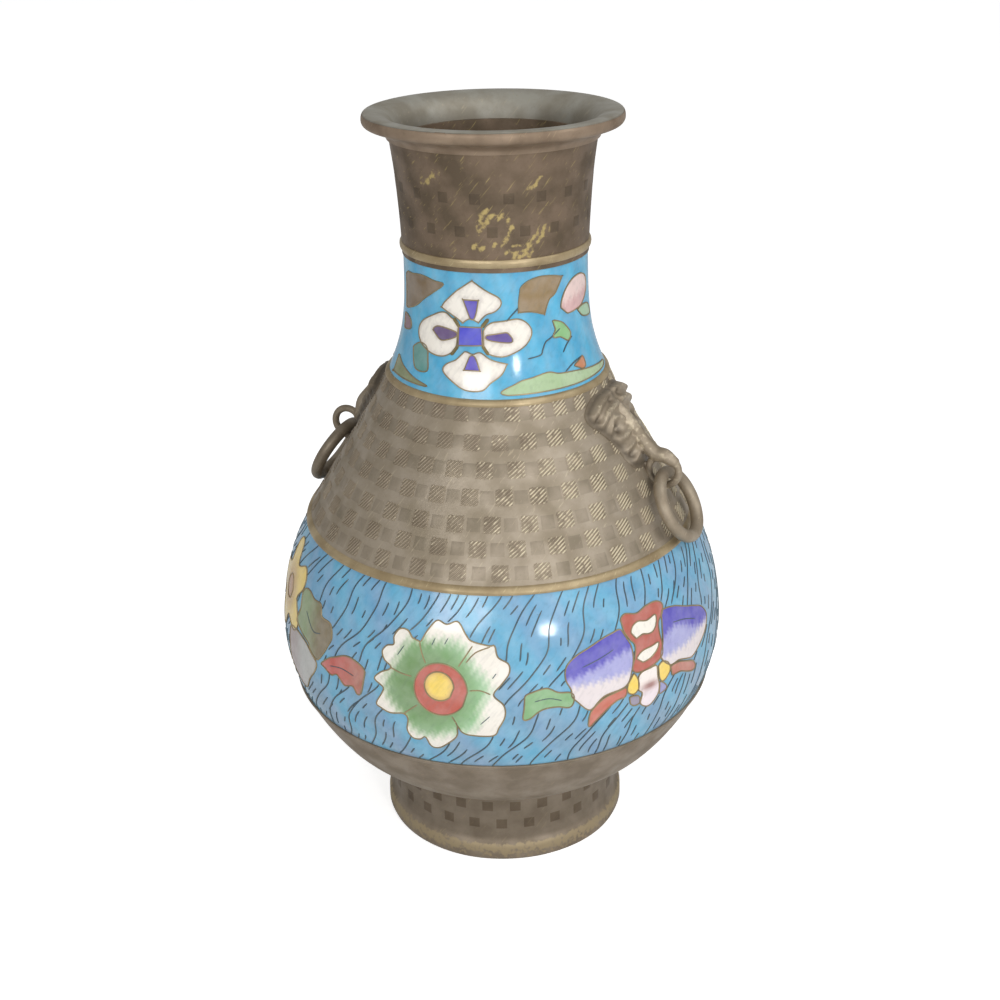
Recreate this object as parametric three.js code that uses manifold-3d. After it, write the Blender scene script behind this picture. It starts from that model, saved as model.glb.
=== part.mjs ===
// Champleve vase: a cast bronze vessel with sunk beds that are filled with coloured glass.
// Millimetres, +Z up. The origin is the centre of the foot's underside.
// Angles round the vase are measured from -Y towards +X, and the handles stand at 90 and -90.

import * as THREE from 'three';
import { mergeVertices } from 'three/addons/utils/BufferGeometryUtils.js';
import Module from 'manifold-3d';

const wasm = await Module();
wasm.setup();

// Vessel
const HEIGHT = 250;
const WALL = 3.2;
const FACETS = 24;
const NECK_FACETS = 18;
const INNER_FACETS = 16;
const FOOT_BORE = 37.6;
const PLATE_SEAT = 13;
const PLATE_RADIUS = 38.9;
const PLATE_THICKNESS = 2.4;

// Outlines of the foot, the flared lip and the mouth inside it, as [radius, height]
const FOOT = [[43.2, 0], [42.9, 5.5], [41.8, 7], [41.3, 25.4]];
const LIP = [[34.2, 244], [39.4, 246], [40.6, 247.6], [39.8, HEIGHT]];
const MOUTH = [[29.2, 242], [31.2, 247.6], [35, HEIGHT]];

// Outline of the vessel from the top of the foot to the lip, as [height, radius]
const OUTLINE = [
  [26, 41.5], [34, 55.2], [44, 64.5], [60, 73], [78, 76.4], [100, 73.1], [116, 66], [132, 56.5],
  [148, 46.8], [164, 37.8], [182, 31.4], [204, 29.8], [228, 30.8], [242, 32.4],
];

// Stretches that follow this outline outside and inside, as [lower edge, upper edge, steps]
const LOWER_BELLY = [28.5, 52, 2];
const SHOULDER = [129, 157, 2];
const UPPER_NECK = [226, 241, 1];
const INSIDE = [[40, 76, 2], [100, 180, 4], [206, 228, 1]];
const INSIDE_FLOOR = 29;

// Raised ribs round the vessel, as [lower edge, upper edge, stand-out]
const BELLY_RIB = [58, 59.6, 0.5];
const SHOULDER_RIB = [116.2, 119.2, 0.8];
const NECK_RIB = [166.2, 168.4, 0.6];
const COLLAR_RIB = [207.8, 210.6, 0.7];
const RIB_BEVEL = 0.3;

// Glass beds
const BELLY_BED = [60.4, 115.6];
const NECK_BED = [168.8, 205.8];
const BED_DEPTH = 1.5;
const GLASS_DEPTH = 1.2;
const GLASS_SINK = 0.1;
const GAP = 0.3;
const WIRE = 0.7;
const BELLY_ROWS = 3;
const NECK_ROWS = 2;
const BELLY_REACH = 75;
const NECK_REACH = 31;

// Where the motifs sit: angle round the vase and height
const LOTUS = { angle: 9.7, height: 88 };
const BUTTERFLY = { angle: 61, height: 88 };
const QUATREFOIL = { angle: 10.5, height: 187 };

// Handles and loose rings, at the right side of the vase
const MASK_HEIGHT = 151;
const MASK_REACH = 46;
const MASK_THICKNESS = 2.2;
const MASK_BAND = [MASK_HEIGHT - 12, MASK_HEIGHT + 15];
const CLEARANCE_BAND = [120, 175];
const EYELET = { x: 58.1, z: 139, radius: 4.9, wire: 1.1 };
const RING_RADIUS = 11;
const RING_WIRE = 2.1;
const RING_SLOPE = 30;

// Half of the mask's outline from its top to its chin, as [across, up]
const MASK_OUTLINE = [
  [8, 13.8], [16.2, 11], [18.4, 7.2], [12.4, 1.2], [9.6, -3.6], [7.4, -8.4], [3.6, -11],
];

// The mask's raised and sunk features on one side, as [across, up, out] points
const HORN = { radius: 2, path: [[2.6, 10.6, 1.2], [9, 11, 2.2], [15, 8.2, 1.6]] };
const BROW = { radius: 1.8, path: [[2.4, 4.6, 2], [8, 5.4, 2.4], [13.4, 2.8, 1.4]] };
const CHEEK = { radius: 1.9, path: [[7.4, -1.8, 1.8], [4.4, -7.8, 2]] };
const PITS = { radius: 1.5, places: [[6.4, 1.6, 2.6], [9.8, 7.8, 2.6]] };

// The trunk down the mask's middle, and how its tip curls over the eyelet's top, as [out, up]
const TRUNK = { radius: 2.1, path: [[0, 8, 1.2], [0, 1, 2.6], [0, -4.6, 3.6]] };
const TRUNK_TIP = [[-2.6, 0.6], [0.8, 0.1]];

const BRONZE = { color: 0x6f6352, metalness: 0.7, roughness: 0.55 };
const OLD_BRONZE = { color: 0x5c5145, metalness: 0.7, roughness: 0.5 };
const GLASS = {
  turquoise: 0x3fa9dc, blue: 0x6fa9d0, white: 0xeee8dc, violet: 0x5a50c8, olive: 0x7d6a3a,
  pink: 0xe3b3ab, green: 0x7fae78, red: 0xbf6a56, yellow: 0xf0cf66, grey: 0xb0b0ac,
};

const radians = THREE.MathUtils.degToRad;

// Turns a geometry into a closed solid, facing outwards.
function solid(geometry) {
  const bare = geometry.clone();
  bare.deleteAttribute('normal');
  bare.deleteAttribute('uv');
  const merged = mergeVertices(bare, 1e-4);
  const index = merged.index.array;
  const triangles = [];
  for (let i = 0; i < index.length; i += 3) {
    const [a, b, c] = [index[i], index[i + 1], index[i + 2]];
    if (a !== b && b !== c && c !== a) triangles.push(a, b, c);
  }
  const points = merged.attributes.position.array;
  if (volume(points, triangles) < 0) triangles.reverse();
  return new wasm.Manifold(new wasm.Mesh({
    numProp: 3,
    vertProperties: new Float32Array(points),
    triVerts: new Uint32Array(triangles),
  }));
}

function volume(points, triangles) {
  const [a, b, c] = [new THREE.Vector3(), new THREE.Vector3(), new THREE.Vector3()];
  let sum = 0;
  for (let i = 0; i < triangles.length; i += 3) {
    a.fromArray(points, 3 * triangles[i]);
    b.fromArray(points, 3 * triangles[i + 1]);
    c.fromArray(points, 3 * triangles[i + 2]);
    sum += a.dot(b.cross(c));
  }
  return sum / 6;
}

// Gives a solid back as a named mesh.
function part(name, body, finish) {
  const { vertProperties, triVerts } = body.getMesh();
  const geometry = new THREE.BufferGeometry();
  geometry.setAttribute('position', new THREE.BufferAttribute(vertProperties, 3));
  geometry.setIndex(new THREE.BufferAttribute(triVerts, 1));
  geometry.computeVertexNormals();
  const mesh = new THREE.Mesh(geometry, new THREE.MeshStandardMaterial(finish));
  mesh.name = name;
  return mesh;
}

function glass(name, body, colour) {
  return part(name, body, { color: GLASS[colour], metalness: 0, roughness: 0.25 });
}

// The biggest piece of a solid that a cut may have left in several.
function largest(body) {
  return body.decompose().reduce((best, piece) => (piece.volume() > best.volume() ? piece : best));
}

function sum(bodies) {
  return bodies.reduce((all, body) => all.add(body));
}

// A solid of revolution from a closed loop of [radius, height] points.
function revolve(loop, facets) {
  const points = [...loop, loop[0]].map(([r, z]) => new THREE.Vector2(r, z));
  return solid(new THREE.LatheGeometry(points, facets).rotateX(Math.PI / 2));
}

const outlineCurve = new THREE.SplineCurve(OUTLINE.map(([z, r]) => new THREE.Vector2(z, r)));
const outlineSamples = outlineCurve.getPoints(300);

// Radius of the plain vessel wall at a height.
function radiusAt(z) {
  const next = outlineSamples.findIndex((p) => p.x >= z);
  if (next <= 0) return outlineSamples[next === 0 ? 0 : outlineSamples.length - 1].y;
  const [a, b] = [outlineSamples[next - 1], outlineSamples[next]];
  return THREE.MathUtils.lerp(a.y, b.y, (z - a.x) / (b.x - a.x));
}

// Evenly spaced points of the vessel wall between two heights, moved out by an offset.
function wall(low, high, steps, offset = 0) {
  return Array.from({ length: steps + 1 }, (_, i) => {
    const z = THREE.MathUtils.lerp(low, high, i / steps);
    return [radiusAt(z) + offset, z];
  });
}

function rib([low, high, out]) {
  return [
    [radiusAt(low), low], [radiusAt(low) + out, low + RIB_BEVEL],
    [radiusAt(high) + out, high - RIB_BEVEL], [radiusAt(high), high],
  ];
}

// The space inside the vessel, with its foot and the seat for the base plate.
function vesselInside() {
  return revolve([
    [0, -1], [PLATE_RADIUS + GAP, -1], [PLATE_RADIUS + GAP, PLATE_SEAT + GAP],
    [FOOT_BORE, PLATE_SEAT + GAP], [FOOT_BORE, INSIDE_FLOOR],
    ...INSIDE.flatMap(([low, high, steps]) => wall(low, high, steps, -WALL)),
    ...MOUTH, [MOUTH.at(-1)[0], HEIGHT + 1], [0, HEIGHT + 1],
  ], INNER_FACETS);
}

// The foot and belly, and the neck above them, which starts at the neck rib
function vesselShell() {
  const joint = NECK_RIB[0];
  const belly = revolve([
    [0, 0], ...FOOT,
    ...wall(...LOWER_BELLY), ...rib(BELLY_RIB), ...wall(...BELLY_BED, BELLY_ROWS), ...rib(SHOULDER_RIB),
    ...wall(...SHOULDER), ...wall(joint, joint + 1, 1), [0, joint + 1],
  ], FACETS);
  const neck = revolve([
    [0, joint], ...rib(NECK_RIB), ...wall(...NECK_BED, NECK_ROWS), ...rib(COLLAR_RIB),
    ...wall(...UPPER_NECK), ...LIP, [0, HEIGHT],
  ], NECK_FACETS);
  return belly.add(neck).subtract(vesselInside());
}

// A thin shell that follows the vessel wall between two heights and two offsets.
function shell([low, high], steps, facets, inner, outer) {
  return revolve([...wall(low, high, steps, outer), ...wall(low, high, steps, inner).reverse()], facets);
}

// Moves each side of an outline outwards by a distance, with sharp corners.
function grow(points, distance) {
  const area = THREE.ShapeUtils.area(points);
  const out = Math.sign(area) * distance;
  return points.map((p, i) => {
    const before = points.at(i - 1);
    const after = points[(i + 1) % points.length];
    const n1 = new THREE.Vector2(p.y - before.y, before.x - p.x).normalize();
    const n2 = new THREE.Vector2(after.y - p.y, p.x - after.x).normalize();
    const middle = n1.clone().add(n2).normalize();
    return p.clone().addScaledVector(middle, out / Math.max(middle.dot(n1), 0.6));
  });
}

// A drawn outline: a list of [along, up] points, which can be grown.
function drawn(list) {
  const points = list.map(([x, y]) => new THREE.Vector2(x, y));
  return (extra) => (extra ? grow(points, extra) : points);
}

// A flower outline about a centre: each petal repeats the same [degrees, radius] points.
function rosette(petals, turn, shape, [x, y] = [0, 0]) {
  return (extra) => Array.from({ length: petals }, (_, k) => k).flatMap((k) =>
    shape.map(([degrees, radius]) => {
      const angle = radians(turn + degrees + (360 / petals) * k);
      return new THREE.Vector2(Math.cos(angle), Math.sin(angle))
        .multiplyScalar(radius + extra).add(new THREE.Vector2(x, y));
    }));
}

// A prism through the vessel wall with an outline drawn along the wall. Its sides run straight in
// towards the axis from the place along the wall that it faces.
function prism(points, { angle, height }, reach, facing) {
  const flat = new THREE.Shape(points.map(({ x, y }) =>
    new THREE.Vector2(reach * Math.sin((x - facing) / reach), y)));
  const bar = new THREE.ExtrudeGeometry(flat, { depth: 0.8 * reach, bevelEnabled: false });
  bar.translate(0, 0, 0.5 * reach).rotateX(Math.PI / 2);
  bar.rotateZ(radians(angle) + facing / reach).translate(0, 0, height);
  return solid(bar);
}

// Motifs. Each cell is a fill of one colour with its outline and the outlines inside it.

// One petal of the lotus as [degrees, radius] points, for the front and for the back
const BROAD_PETAL = [[-30, 14.6], [-12, 21.2], [12, 21.2]];
const PLAIN_PETAL = [[-30, 15.4], [0, 21.8]];

// The lotus, from its petals inwards, with as many rings of colour as asked
function lotusCells(rings, petal) {
  const cells = [
    { name: 'lotus_petals', colour: 'white', outline: rosette(6, 87, petal) },
    { name: 'lotus_star', colour: 'green', outline: rosette(6, 87, [[0, 14.6]]) },
    { name: 'lotus_ring', colour: 'red', outline: rosette(8, 0, [[0, 9]]) },
    { name: 'lotus_centre', colour: 'yellow', outline: rosette(6, 0, [[0, 4.6]]) },
  ].slice(0, rings);
  return cells.map((cell, i) => ({ ...cell, whole: true, within: i > 0, inside: cells[i + 1]?.outline }));
}

function butterflyCells() {
  return [
    { name: 'butterfly_left_wing', colour: 'violet', outline: drawn([
      [-8.6, 13], [-20.7, 10.4], [-27.2, 8.2], [-27.9, 2.9], [-23, -7.2], [-8, -3.2], [-6, 0.2]]) },
    { name: 'butterfly_right_wing', colour: 'violet', outline: drawn([
      [10.4, 10.6], [15, 14.6], [32, 9.2], [36, 4.6], [28.6, -5.2], [21.6, -5.6], [9.8, 0.2]]) },
    { name: 'butterfly_body', colour: 'red', outline: drawn([
      [-6.5, 17], [7.5, 18.3], [10.9, 15.6], [8, 7], [7, 2.6], [-3.8, -0.6]]) },
    { name: 'butterfly_head', colour: 'pink', outline: drawn([
      [-1.6, -2.2], [4.8, -0.8], [5, -8], [1.6, -13.6], [-1, -10.4]]) },
    { name: 'butterfly_left_eye', colour: 'yellow', outline: drawn([
      [-5.2, -1.7], [-3.1, -5], [-5, -8.2], [-7.1, -5]]) },
    { name: 'butterfly_right_eye', colour: 'yellow', outline: drawn([
      [8.8, -1.2], [10.9, -4.6], [8.6, -8.2], [6.5, -4.6]]) },
    { name: 'butterfly_left_strip', colour: 'red', outline: drawn([
      [-20.6, -15], [-20.8, -9], [-8.6, -5.6], [-8.6, -8]]) },
    { name: 'butterfly_right_strip', colour: 'red', outline: drawn([
      [12.4, -7.6], [13, -5.2], [25.6, -9.6], [21.4, -11.6]]) },
  ];
}

// The flower and leaves to the left of the lotus and the leaf to its right
function leafCells() {
  return [
    { name: 'yellow_flower', colour: 'yellow', outline: rosette(5, 18, [[-36, 8.2], [0, 12.8]],
      [-78, 10]) },
    { name: 'olive_leaf', colour: 'olive', outline: drawn([
      [-62.6, 6.8], [-50.8, 13.8], [-43.4, 10.5], [-43, 4.1], [-49.2, -3.4], [-62.8, 0.8]]) },
    { name: 'grey_leaf', colour: 'grey', outline: drawn([
      [-75, -7], [-64, -2.8], [-56.5, -4], [-53.8, -11.5], [-57, -21], [-73, -12]]) },
    { name: 'red_leaf', colour: 'red', outline: drawn([
      [-46.2, -4.6], [-36.1, 1.8], [-28.2, 0.8], [-28.6, -7.6], [-42, -7]]) },
    { name: 'green_leaf', colour: 'green', outline: drawn([
      [25.5, -5.4], [31, -0.4], [38, -5.4], [34.5, -9], [26.8, -8.8]]) },
  ];
}

function neckCells() {
  return [
    { name: 'neck_petal_top', colour: 'white', outline: drawn([
      [-0.7, 16.2], [9.2, 11], [1.2, 4.9], [-3, 4.9], [-10.2, 8.2], [-6.4, 12.6]]) },
    { name: 'neck_petal_left', colour: 'white', outline: drawn([
      [-6.3, 2.4], [-10.4, 5], [-16.6, 3.2], [-20.1, -0.8], [-12, -7.2], [-6.3, -2.4]]) },
    { name: 'neck_petal_right', colour: 'white', outline: drawn([
      [4.8, 2.2], [9.6, 4.8], [15.2, 4.4], [18.8, 0.8], [10.2, -5.8], [4.8, -2.6]]) },
    { name: 'neck_petal_bottom', colour: 'white', outline: drawn([
      [-3, -5.2], [1.6, -5.2], [10, -8.4], [2.6, -15.4], [-2.4, -15.6], [-8.6, -11.2]]) },
    { name: 'neck_flower_centre', colour: 'violet', outline: drawn([
      [-4.8, 3.3], [2.8, 3.5], [3.3, -3.2], [-4.7, -3.6]]) },
    { name: 'neck_olive_left', colour: 'olive', outline: drawn([
      [-31, 13.4], [-20, 16], [-10.6, 16.4], [-13.6, 12], [-31.2, 4.6]]) },
    { name: 'neck_olive_right', colour: 'olive', outline: drawn([
      [14.6, 8.6], [15.2, 14.4], [21, 17.4], [29.8, 16], [22.2, 5.8]]) },
    { name: 'neck_bud', colour: 'pink', outline: drawn([
      [32.2, 5], [31.6, 9.4], [39, 16], [44.6, 16.6], [47.2, 12], [37, 4.4]]) },
  ];
}

// Places the cells of a motif on the front, and fewer of them half a turn round on the back.
function place(front, back, spot, reach) {
  return [['front', front, 0], ['back', back, 180]].flatMap(([side, cells, turn]) =>
    cells.map((cell) => ({
      ...cell, name: `${side}_${cell.name}`, reach, spot: { angle: spot.angle + turn, height: spot.height },
    })));
}

// The place along the wall that a cell's sides run in from: its motif's centre or its own middle.
function facingOf({ outline, whole }) {
  return whole ? 0 : new THREE.Box2().setFromPoints(outline(0)).getCenter(new THREE.Vector2()).x;
}

function cellPrism(cell, outer, inner) {
  const cut = (outline, extra) => prism(outline(extra), cell.spot, cell.reach, facingOf(cell));
  const body = cut(cell.outline, outer);
  return cell.inside ? body.subtract(cut(cell.inside, inner)) : body;
}

// One bed round the vase: its ground, its motif fills, and what the vessel loses to hold them.
function bed(name, colour, [low, high], steps, facets, placed) {
  const cut = shell([low, high], steps, facets, -BED_DEPTH, 2);
  const fill = shell([low + GAP, high - GAP], steps, facets, -GLASS_DEPTH - GLASS_SINK, -GLASS_SINK);
  const outlines = (extra) => sum(placed.filter((cell) => !cell.within)
    .map((cell) => cellPrism({ ...cell, inside: null }, extra)));
  const ground = glass(name, largest(fill.subtract(outlines(2 * GAP + WIRE))), colour);
  const groundCut = largest(cut.subtract(outlines(GAP + WIRE)));
  const fills = placed.map((cell) => glass(cell.name,
    largest(fill.intersect(cellPrism(cell, 0, 2 * GAP + WIRE))), cell.colour));
  const cuts = placed.map((cell) => cut.intersect(cellPrism(cell, GAP, GAP + WIRE)));
  return { meshes: [ground, ...fills], loss: [groundCut, ...cuts] };
}

function basePlate() {
  const low = PLATE_SEAT - PLATE_THICKNESS;
  const loop = [[0, low], [PLATE_RADIUS, low], [PLATE_RADIUS, PLATE_SEAT], [0, PLATE_SEAT]];
  const points = loop.map(([r, z]) => new THREE.Vector2(r, z));
  return solid(new THREE.LatheGeometry(points, INNER_FACETS).rotateX(Math.PI / 2));
}

// A tube along a curve, with an even number of sides.
function tube(points, radius, sides, steps) {
  const circle = new THREE.Shape().absarc(0, 0, radius, 0, 2 * Math.PI);
  const path = new THREE.CatmullRomCurve3(points);
  return solid(new THREE.ExtrudeGeometry(circle, { extrudePath: path, steps, curveSegments: sides / 2 }));
}

function ball(radius, x, y, z) {
  return solid(new THREE.SphereGeometry(radius, 6, 4).translate(x, y, z));
}

// A point of the mask: across and up from its middle, and out from the wall.
function onMask([across, up, out]) {
  const height = MASK_HEIGHT + up;
  const angle = across / MASK_REACH;
  const radius = radiusAt(height) + out;
  return new THREE.Vector3(radius * Math.cos(angle), radius * Math.sin(angle), height);
}

// The beast mask with its horns, brows, cheeks and pits, and the trunk that curls over the eyelet
function handleBody(clearance) {
  const mirrored = MASK_OUTLINE.map(([across, up]) => [-across, up]).reverse();
  const outline = [...MASK_OUTLINE, ...mirrored].map(([across, up]) => new THREE.Vector2(across, up));
  const plate = prism(outline, { angle: 90, height: MASK_HEIGHT }, MASK_REACH, 0)
    .intersect(shell(MASK_BAND, 2, FACETS, 0, MASK_THICKNESS));
  const sides = [1, -1].map((side) => (points) =>
    points.map(([across, up, out]) => onMask([side * across, up, out])));
  const ridges = sides.flatMap((put) => [HORN, BROW, CHEEK].map(({ radius, path }) =>
    tube(put(path), radius, 6, path.length - 1)));
  const pits = sides.flatMap((put) => put(PITS.places).map(({ x, y, z }) => ball(PITS.radius, x, y, z)));
  const tip = TRUNK_TIP.map(([out, up]) =>
    new THREE.Vector3(EYELET.x + out, 0, EYELET.z + EYELET.radius + up));
  const trunk = tube([...TRUNK.path.map(onMask), ...tip], TRUNK.radius, 8, 5);
  const eyelet = solid(new THREE.TorusGeometry(EYELET.radius, EYELET.wire, 6, 12)
    .rotateX(Math.PI / 2).translate(EYELET.x, 0, EYELET.z));
  return largest(sum([plate, ...ridges, trunk, eyelet]).subtract(sum(pits)).subtract(clearance));
}

// The loose ring, hanging in the eyelet and lying against the shoulder
function ringMesh(name) {
  const slope = radians(RING_SLOPE);
  const hang = EYELET.z - (EYELET.radius - EYELET.wire - RING_WIRE - GAP);
  const ring = part(name, solid(new THREE.TorusGeometry(RING_RADIUS, RING_WIRE, 6, 18)), OLD_BRONZE);
  ring.rotation.y = Math.PI / 2 - slope;
  ring.position.set(EYELET.x + RING_RADIUS * Math.sin(slope), 0, hang - RING_RADIUS * Math.cos(slope));
  return ring;
}

function side(name, handle, turn) {
  const group = new THREE.Group();
  group.add(part(`${name}_handle`, handle, OLD_BRONZE), ringMesh(`${name}_ring`));
  group.rotation.z = turn;
  return group;
}

function vase() {
  const butterfly = butterflyCells().map((cell) => ({ ...cell, whole: true }));
  const petals = neckCells();
  const belly = bed('belly_ground', 'blue', BELLY_BED, BELLY_ROWS, FACETS, [
    ...place(lotusCells(4, BROAD_PETAL), lotusCells(2, PLAIN_PETAL), LOTUS, BELLY_REACH),
    ...place(leafCells(), [], LOTUS, BELLY_REACH),
    ...place(butterfly, butterfly.slice(0, 3), BUTTERFLY, BELLY_REACH),
  ]);
  const neck = bed('neck_ground', 'turquoise', NECK_BED, NECK_ROWS, NECK_FACETS,
    place(petals, petals.slice(0, 5), QUATREFOIL, NECK_REACH));
  const vessel = vesselShell().subtract(sum([...belly.loss, ...neck.loss]));
  const handle = handleBody(shell(CLEARANCE_BAND, 3, FACETS, -2 * WALL, GAP));
  const group = new THREE.Group();
  group.add(
    part('vase_body', vessel, BRONZE), part('base_plate', basePlate(), BRONZE),
    side('right', handle, 0), side('left', handle, Math.PI),
    ...belly.meshes, ...neck.meshes,
  );
  return group;
}

export default vase();
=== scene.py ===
"""Looks of the champleve vase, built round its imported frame.

Sizes are in millimetres until a mesh is made. A place on the wall is an angle round the vase,
measured from -Y towards +X, and a height. Colours are written as 0 to 255.
"""

import math
import random

import bpy
import numpy as np
from mathutils import Matrix, Vector
from mathutils.geometry import delaunay_2d_cdt


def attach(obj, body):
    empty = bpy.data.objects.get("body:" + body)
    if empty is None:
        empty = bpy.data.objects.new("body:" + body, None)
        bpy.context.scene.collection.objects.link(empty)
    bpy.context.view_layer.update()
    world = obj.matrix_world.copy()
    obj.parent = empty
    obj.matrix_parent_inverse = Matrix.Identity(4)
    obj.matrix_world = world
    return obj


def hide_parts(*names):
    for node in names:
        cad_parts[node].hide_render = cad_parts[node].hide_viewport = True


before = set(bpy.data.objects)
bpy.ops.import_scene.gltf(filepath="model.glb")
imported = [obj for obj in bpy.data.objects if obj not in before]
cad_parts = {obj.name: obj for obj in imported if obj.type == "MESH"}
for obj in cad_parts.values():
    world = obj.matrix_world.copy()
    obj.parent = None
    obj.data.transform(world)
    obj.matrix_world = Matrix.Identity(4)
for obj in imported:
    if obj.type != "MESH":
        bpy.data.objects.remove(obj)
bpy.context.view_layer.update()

MM = 0.001
FULL_TURN = 2 * math.pi

# Camera, fitted to the photo's view
CAMERA_TURN = 24.6
CAMERA_DISTANCE = 459
CAMERA_HEIGHT = 326
CAMERA_PITCH = 24.43
CAMERA_ROLL = -1.01
FOCAL_PIXELS = 1470
FRAME_PIXELS = 1000
PRINCIPAL_ROW = 503
SENSOR_WIDTH = 36

# Lamps as (name, turn, rise, distance in metres, width, height, watts), and the light of room and floor
LAMPS = [
    ("key", 78, 46, 1.3, 1.2, 1.2, 7.2),
    ("front", 24, 40, 1.4, 1.0, 0.8, 1.2),
    ("window", 47.7, 14.1, 1.0, 0.1, 0.12, 2.0),
    ("front_sheen", 2, 23, 1.2, 0.62, 0.3, 3.4),
    ("left_fill", -70, 30, 1.2, 0.8, 0.8, 0.1),
]
LAMP_AIM = Vector((0, 0, 0.12))
ROOM_LIGHT = 0.43
FLOOR_GLOW = 0.62
FLOOR_REACH = 6
FLOOR_GREY = 0.86

# The foot, the wall above it and the lip, as [height, radius]. The lip's crest is where its top starts.
FOOT_OUTLINE = [
    (0.3, 42.8), (1.2, 43.15), (4.8, 43.1), (6.1, 42.7), (7, 41.9), (8.6, 41.5), (14, 41.3), (23.6, 41.2),
    (25.2, 41.35),
]
OUTLINE = [
    (26, 41.5), (34, 55.2), (44, 64.5), (60, 73), (78, 76.4), (100, 73.1), (116, 66), (132, 56.5),
    (148, 46.8), (164, 37.8), (182, 31.4), (204, 29.8), (228, 30.8), (242, 32.4),
]
LIP_OUTLINE = [
    (242.2, 33.2), (243.8, 34), (245.3, 36.5), (246, 39.4), (247, 40.5), (248.6, 40.6), (249.7, 40.1),
    (250, 39), (249.9, 36.5), (249, 33.5), (247, 31.3), (243.8, 29.8), (239, 28.8), (234, 28.2),
]
LIP_CREST = 6
LIP_STEPS = 5
OUTLINE_STEPS = 24
WALL = 3.2
LINER = 1.2
SKIN = 1.4

# Raised ribs, as (name, finish, (lower edge, upper edge, stand-out)), and how they round
RIBS = [
    ("belly_rib", "foot", (58, 59.6, 0.5)),
    ("shoulder_rib", "rib", (116.4, 119, 0.8)),
    ("neck_rib", "rib", (166.2, 168.4, 0.6)),
    ("collar_rib", "rib", (207.8, 210.6, 0.7)),
]
RIB_ROOT = 0.3
RIB_ROUNDNESS = 0.7
RIB_STEPS = 7

# Bands of the wall, from lower to upper edge
LOWER_BODY = (26, 58.4)
BELLY_BED = (59.4, 116.4)
SHOULDER = (118.6, 166.6)
NECK_BED = (168.2, 206.6)
COLLAR = (206.5, 242.2)
INSIDE = (57, 229.5)

# Backs of the collar and the lip, the inside of the foot and its plate, as [radius, height]
PLATE_SEAT = 13
PLATE_RADIUS = 38.9
FOOT_BORE = 37.6
COLLAR_BACK = [(28.4, 242), (27.6, 229), (27.4, 214), (27.4, COLLAR[0])]
LIP_EDGE_BACK = [(38.6, 248.9), (38.8, 247), (36, 245.6), (33.4, 244), (32.2, 242)]
LIP_TOP_BACK = [(28.8, 231), (30.2, 238), (32.4, 243.4), (35, 246.8), (38.4, 248.6)]
FOOT_INSIDE = [
    (61.5, 44.5), (51.5, 35), (42, 30), (FOOT_BORE, 29), (FOOT_BORE, PLATE_SEAT + 0.3),
    (PLATE_RADIUS + 0.3, PLATE_SEAT + 0.3), (PLATE_RADIUS + 0.3, 0.6), (PLATE_RADIUS + 0.7, 0.02),
    (42.4, 0.02),
]
FOOT_PLATE = [
    (0.01, 11.2), (20, 10.95), (PLATE_RADIUS - 0.6, 10.6), (PLATE_RADIUS, 11.1),
    (PLATE_RADIUS, PLATE_SEAT - 0.3), (PLATE_RADIUS - 0.4, PLATE_SEAT), (0.01, PLATE_SEAT),
]

# How many times each turned piece is repeated round the vase
LIP_TURNS = 400
BODY_TURNS = 360
RIB_TURNS = 300
INSIDE_TURNS = 180
PLATE_TURNS = 160
BELLY_TURNS = 420
NECK_TURNS = 240

# Levels against the wall, along its normal
GROUND_LEVEL = -0.32
GROUND_SKIN = 0.9
WIRE_LEVEL = -0.14
WIRE_DEPTH = -0.8
FILL_LEVEL = -0.12
OUTLINE_LEVEL = -0.04
FILL_DEPTH = -1.2

# Lines in the belly's ground: how many, how wide, how they lean and wave, and the lengths of the dashes
BELLY_LINES = 44
BELLY_WIRE = 0.6
LINE_LEAN = 0.62
LINE_WAVE = 1.8
LINE_WAVE_LENGTH = 27
DASHES = (2.4, 3, 4, 5.5, 7)
LINE_SEED = 11
# How far lines and dashes stray, as shares of the gap between lines, where the dashes lie, and their gaps
LINE_STRAY = 0.14
DASH_STRAY = 0.08
DASH_ROWS = (0.34, 0.68)
DASH_GAP = (1.8, 6)
FIRST_DASH_GAP = 4
LAST_DASH_GAP = 3

# Motif centres: angle in degrees, height, and the reach that turns lengths into angles
LOTUS = (9.7, 88, 75)
BUTTERFLY = (61, 88, 75)
QUATREFOIL = (10.5, 187, 31)
# The yellow flower's centre, as [along, up] from the lotus
YELLOW_FLOWER = (-78, 9.5)

# Widths of the walls round the cells and inside them, with the piece and the finish of each
BELLY_WALL = 0.6
NECK_WALL = 0.52
CORNER_WALL = 1.4
STEM = 0.5
VEIN = 0.42
WALL_KINDS = {
    BELLY_WALL: ("cell_walls", "cell"),
    NECK_WALL: ("cell_walls", "cell"),
    CORNER_WALL: ("corner_walls", "olive_wall"),
    STEM: ("stems", "wire"),
    VEIN: ("veins", "wire"),
}

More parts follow.
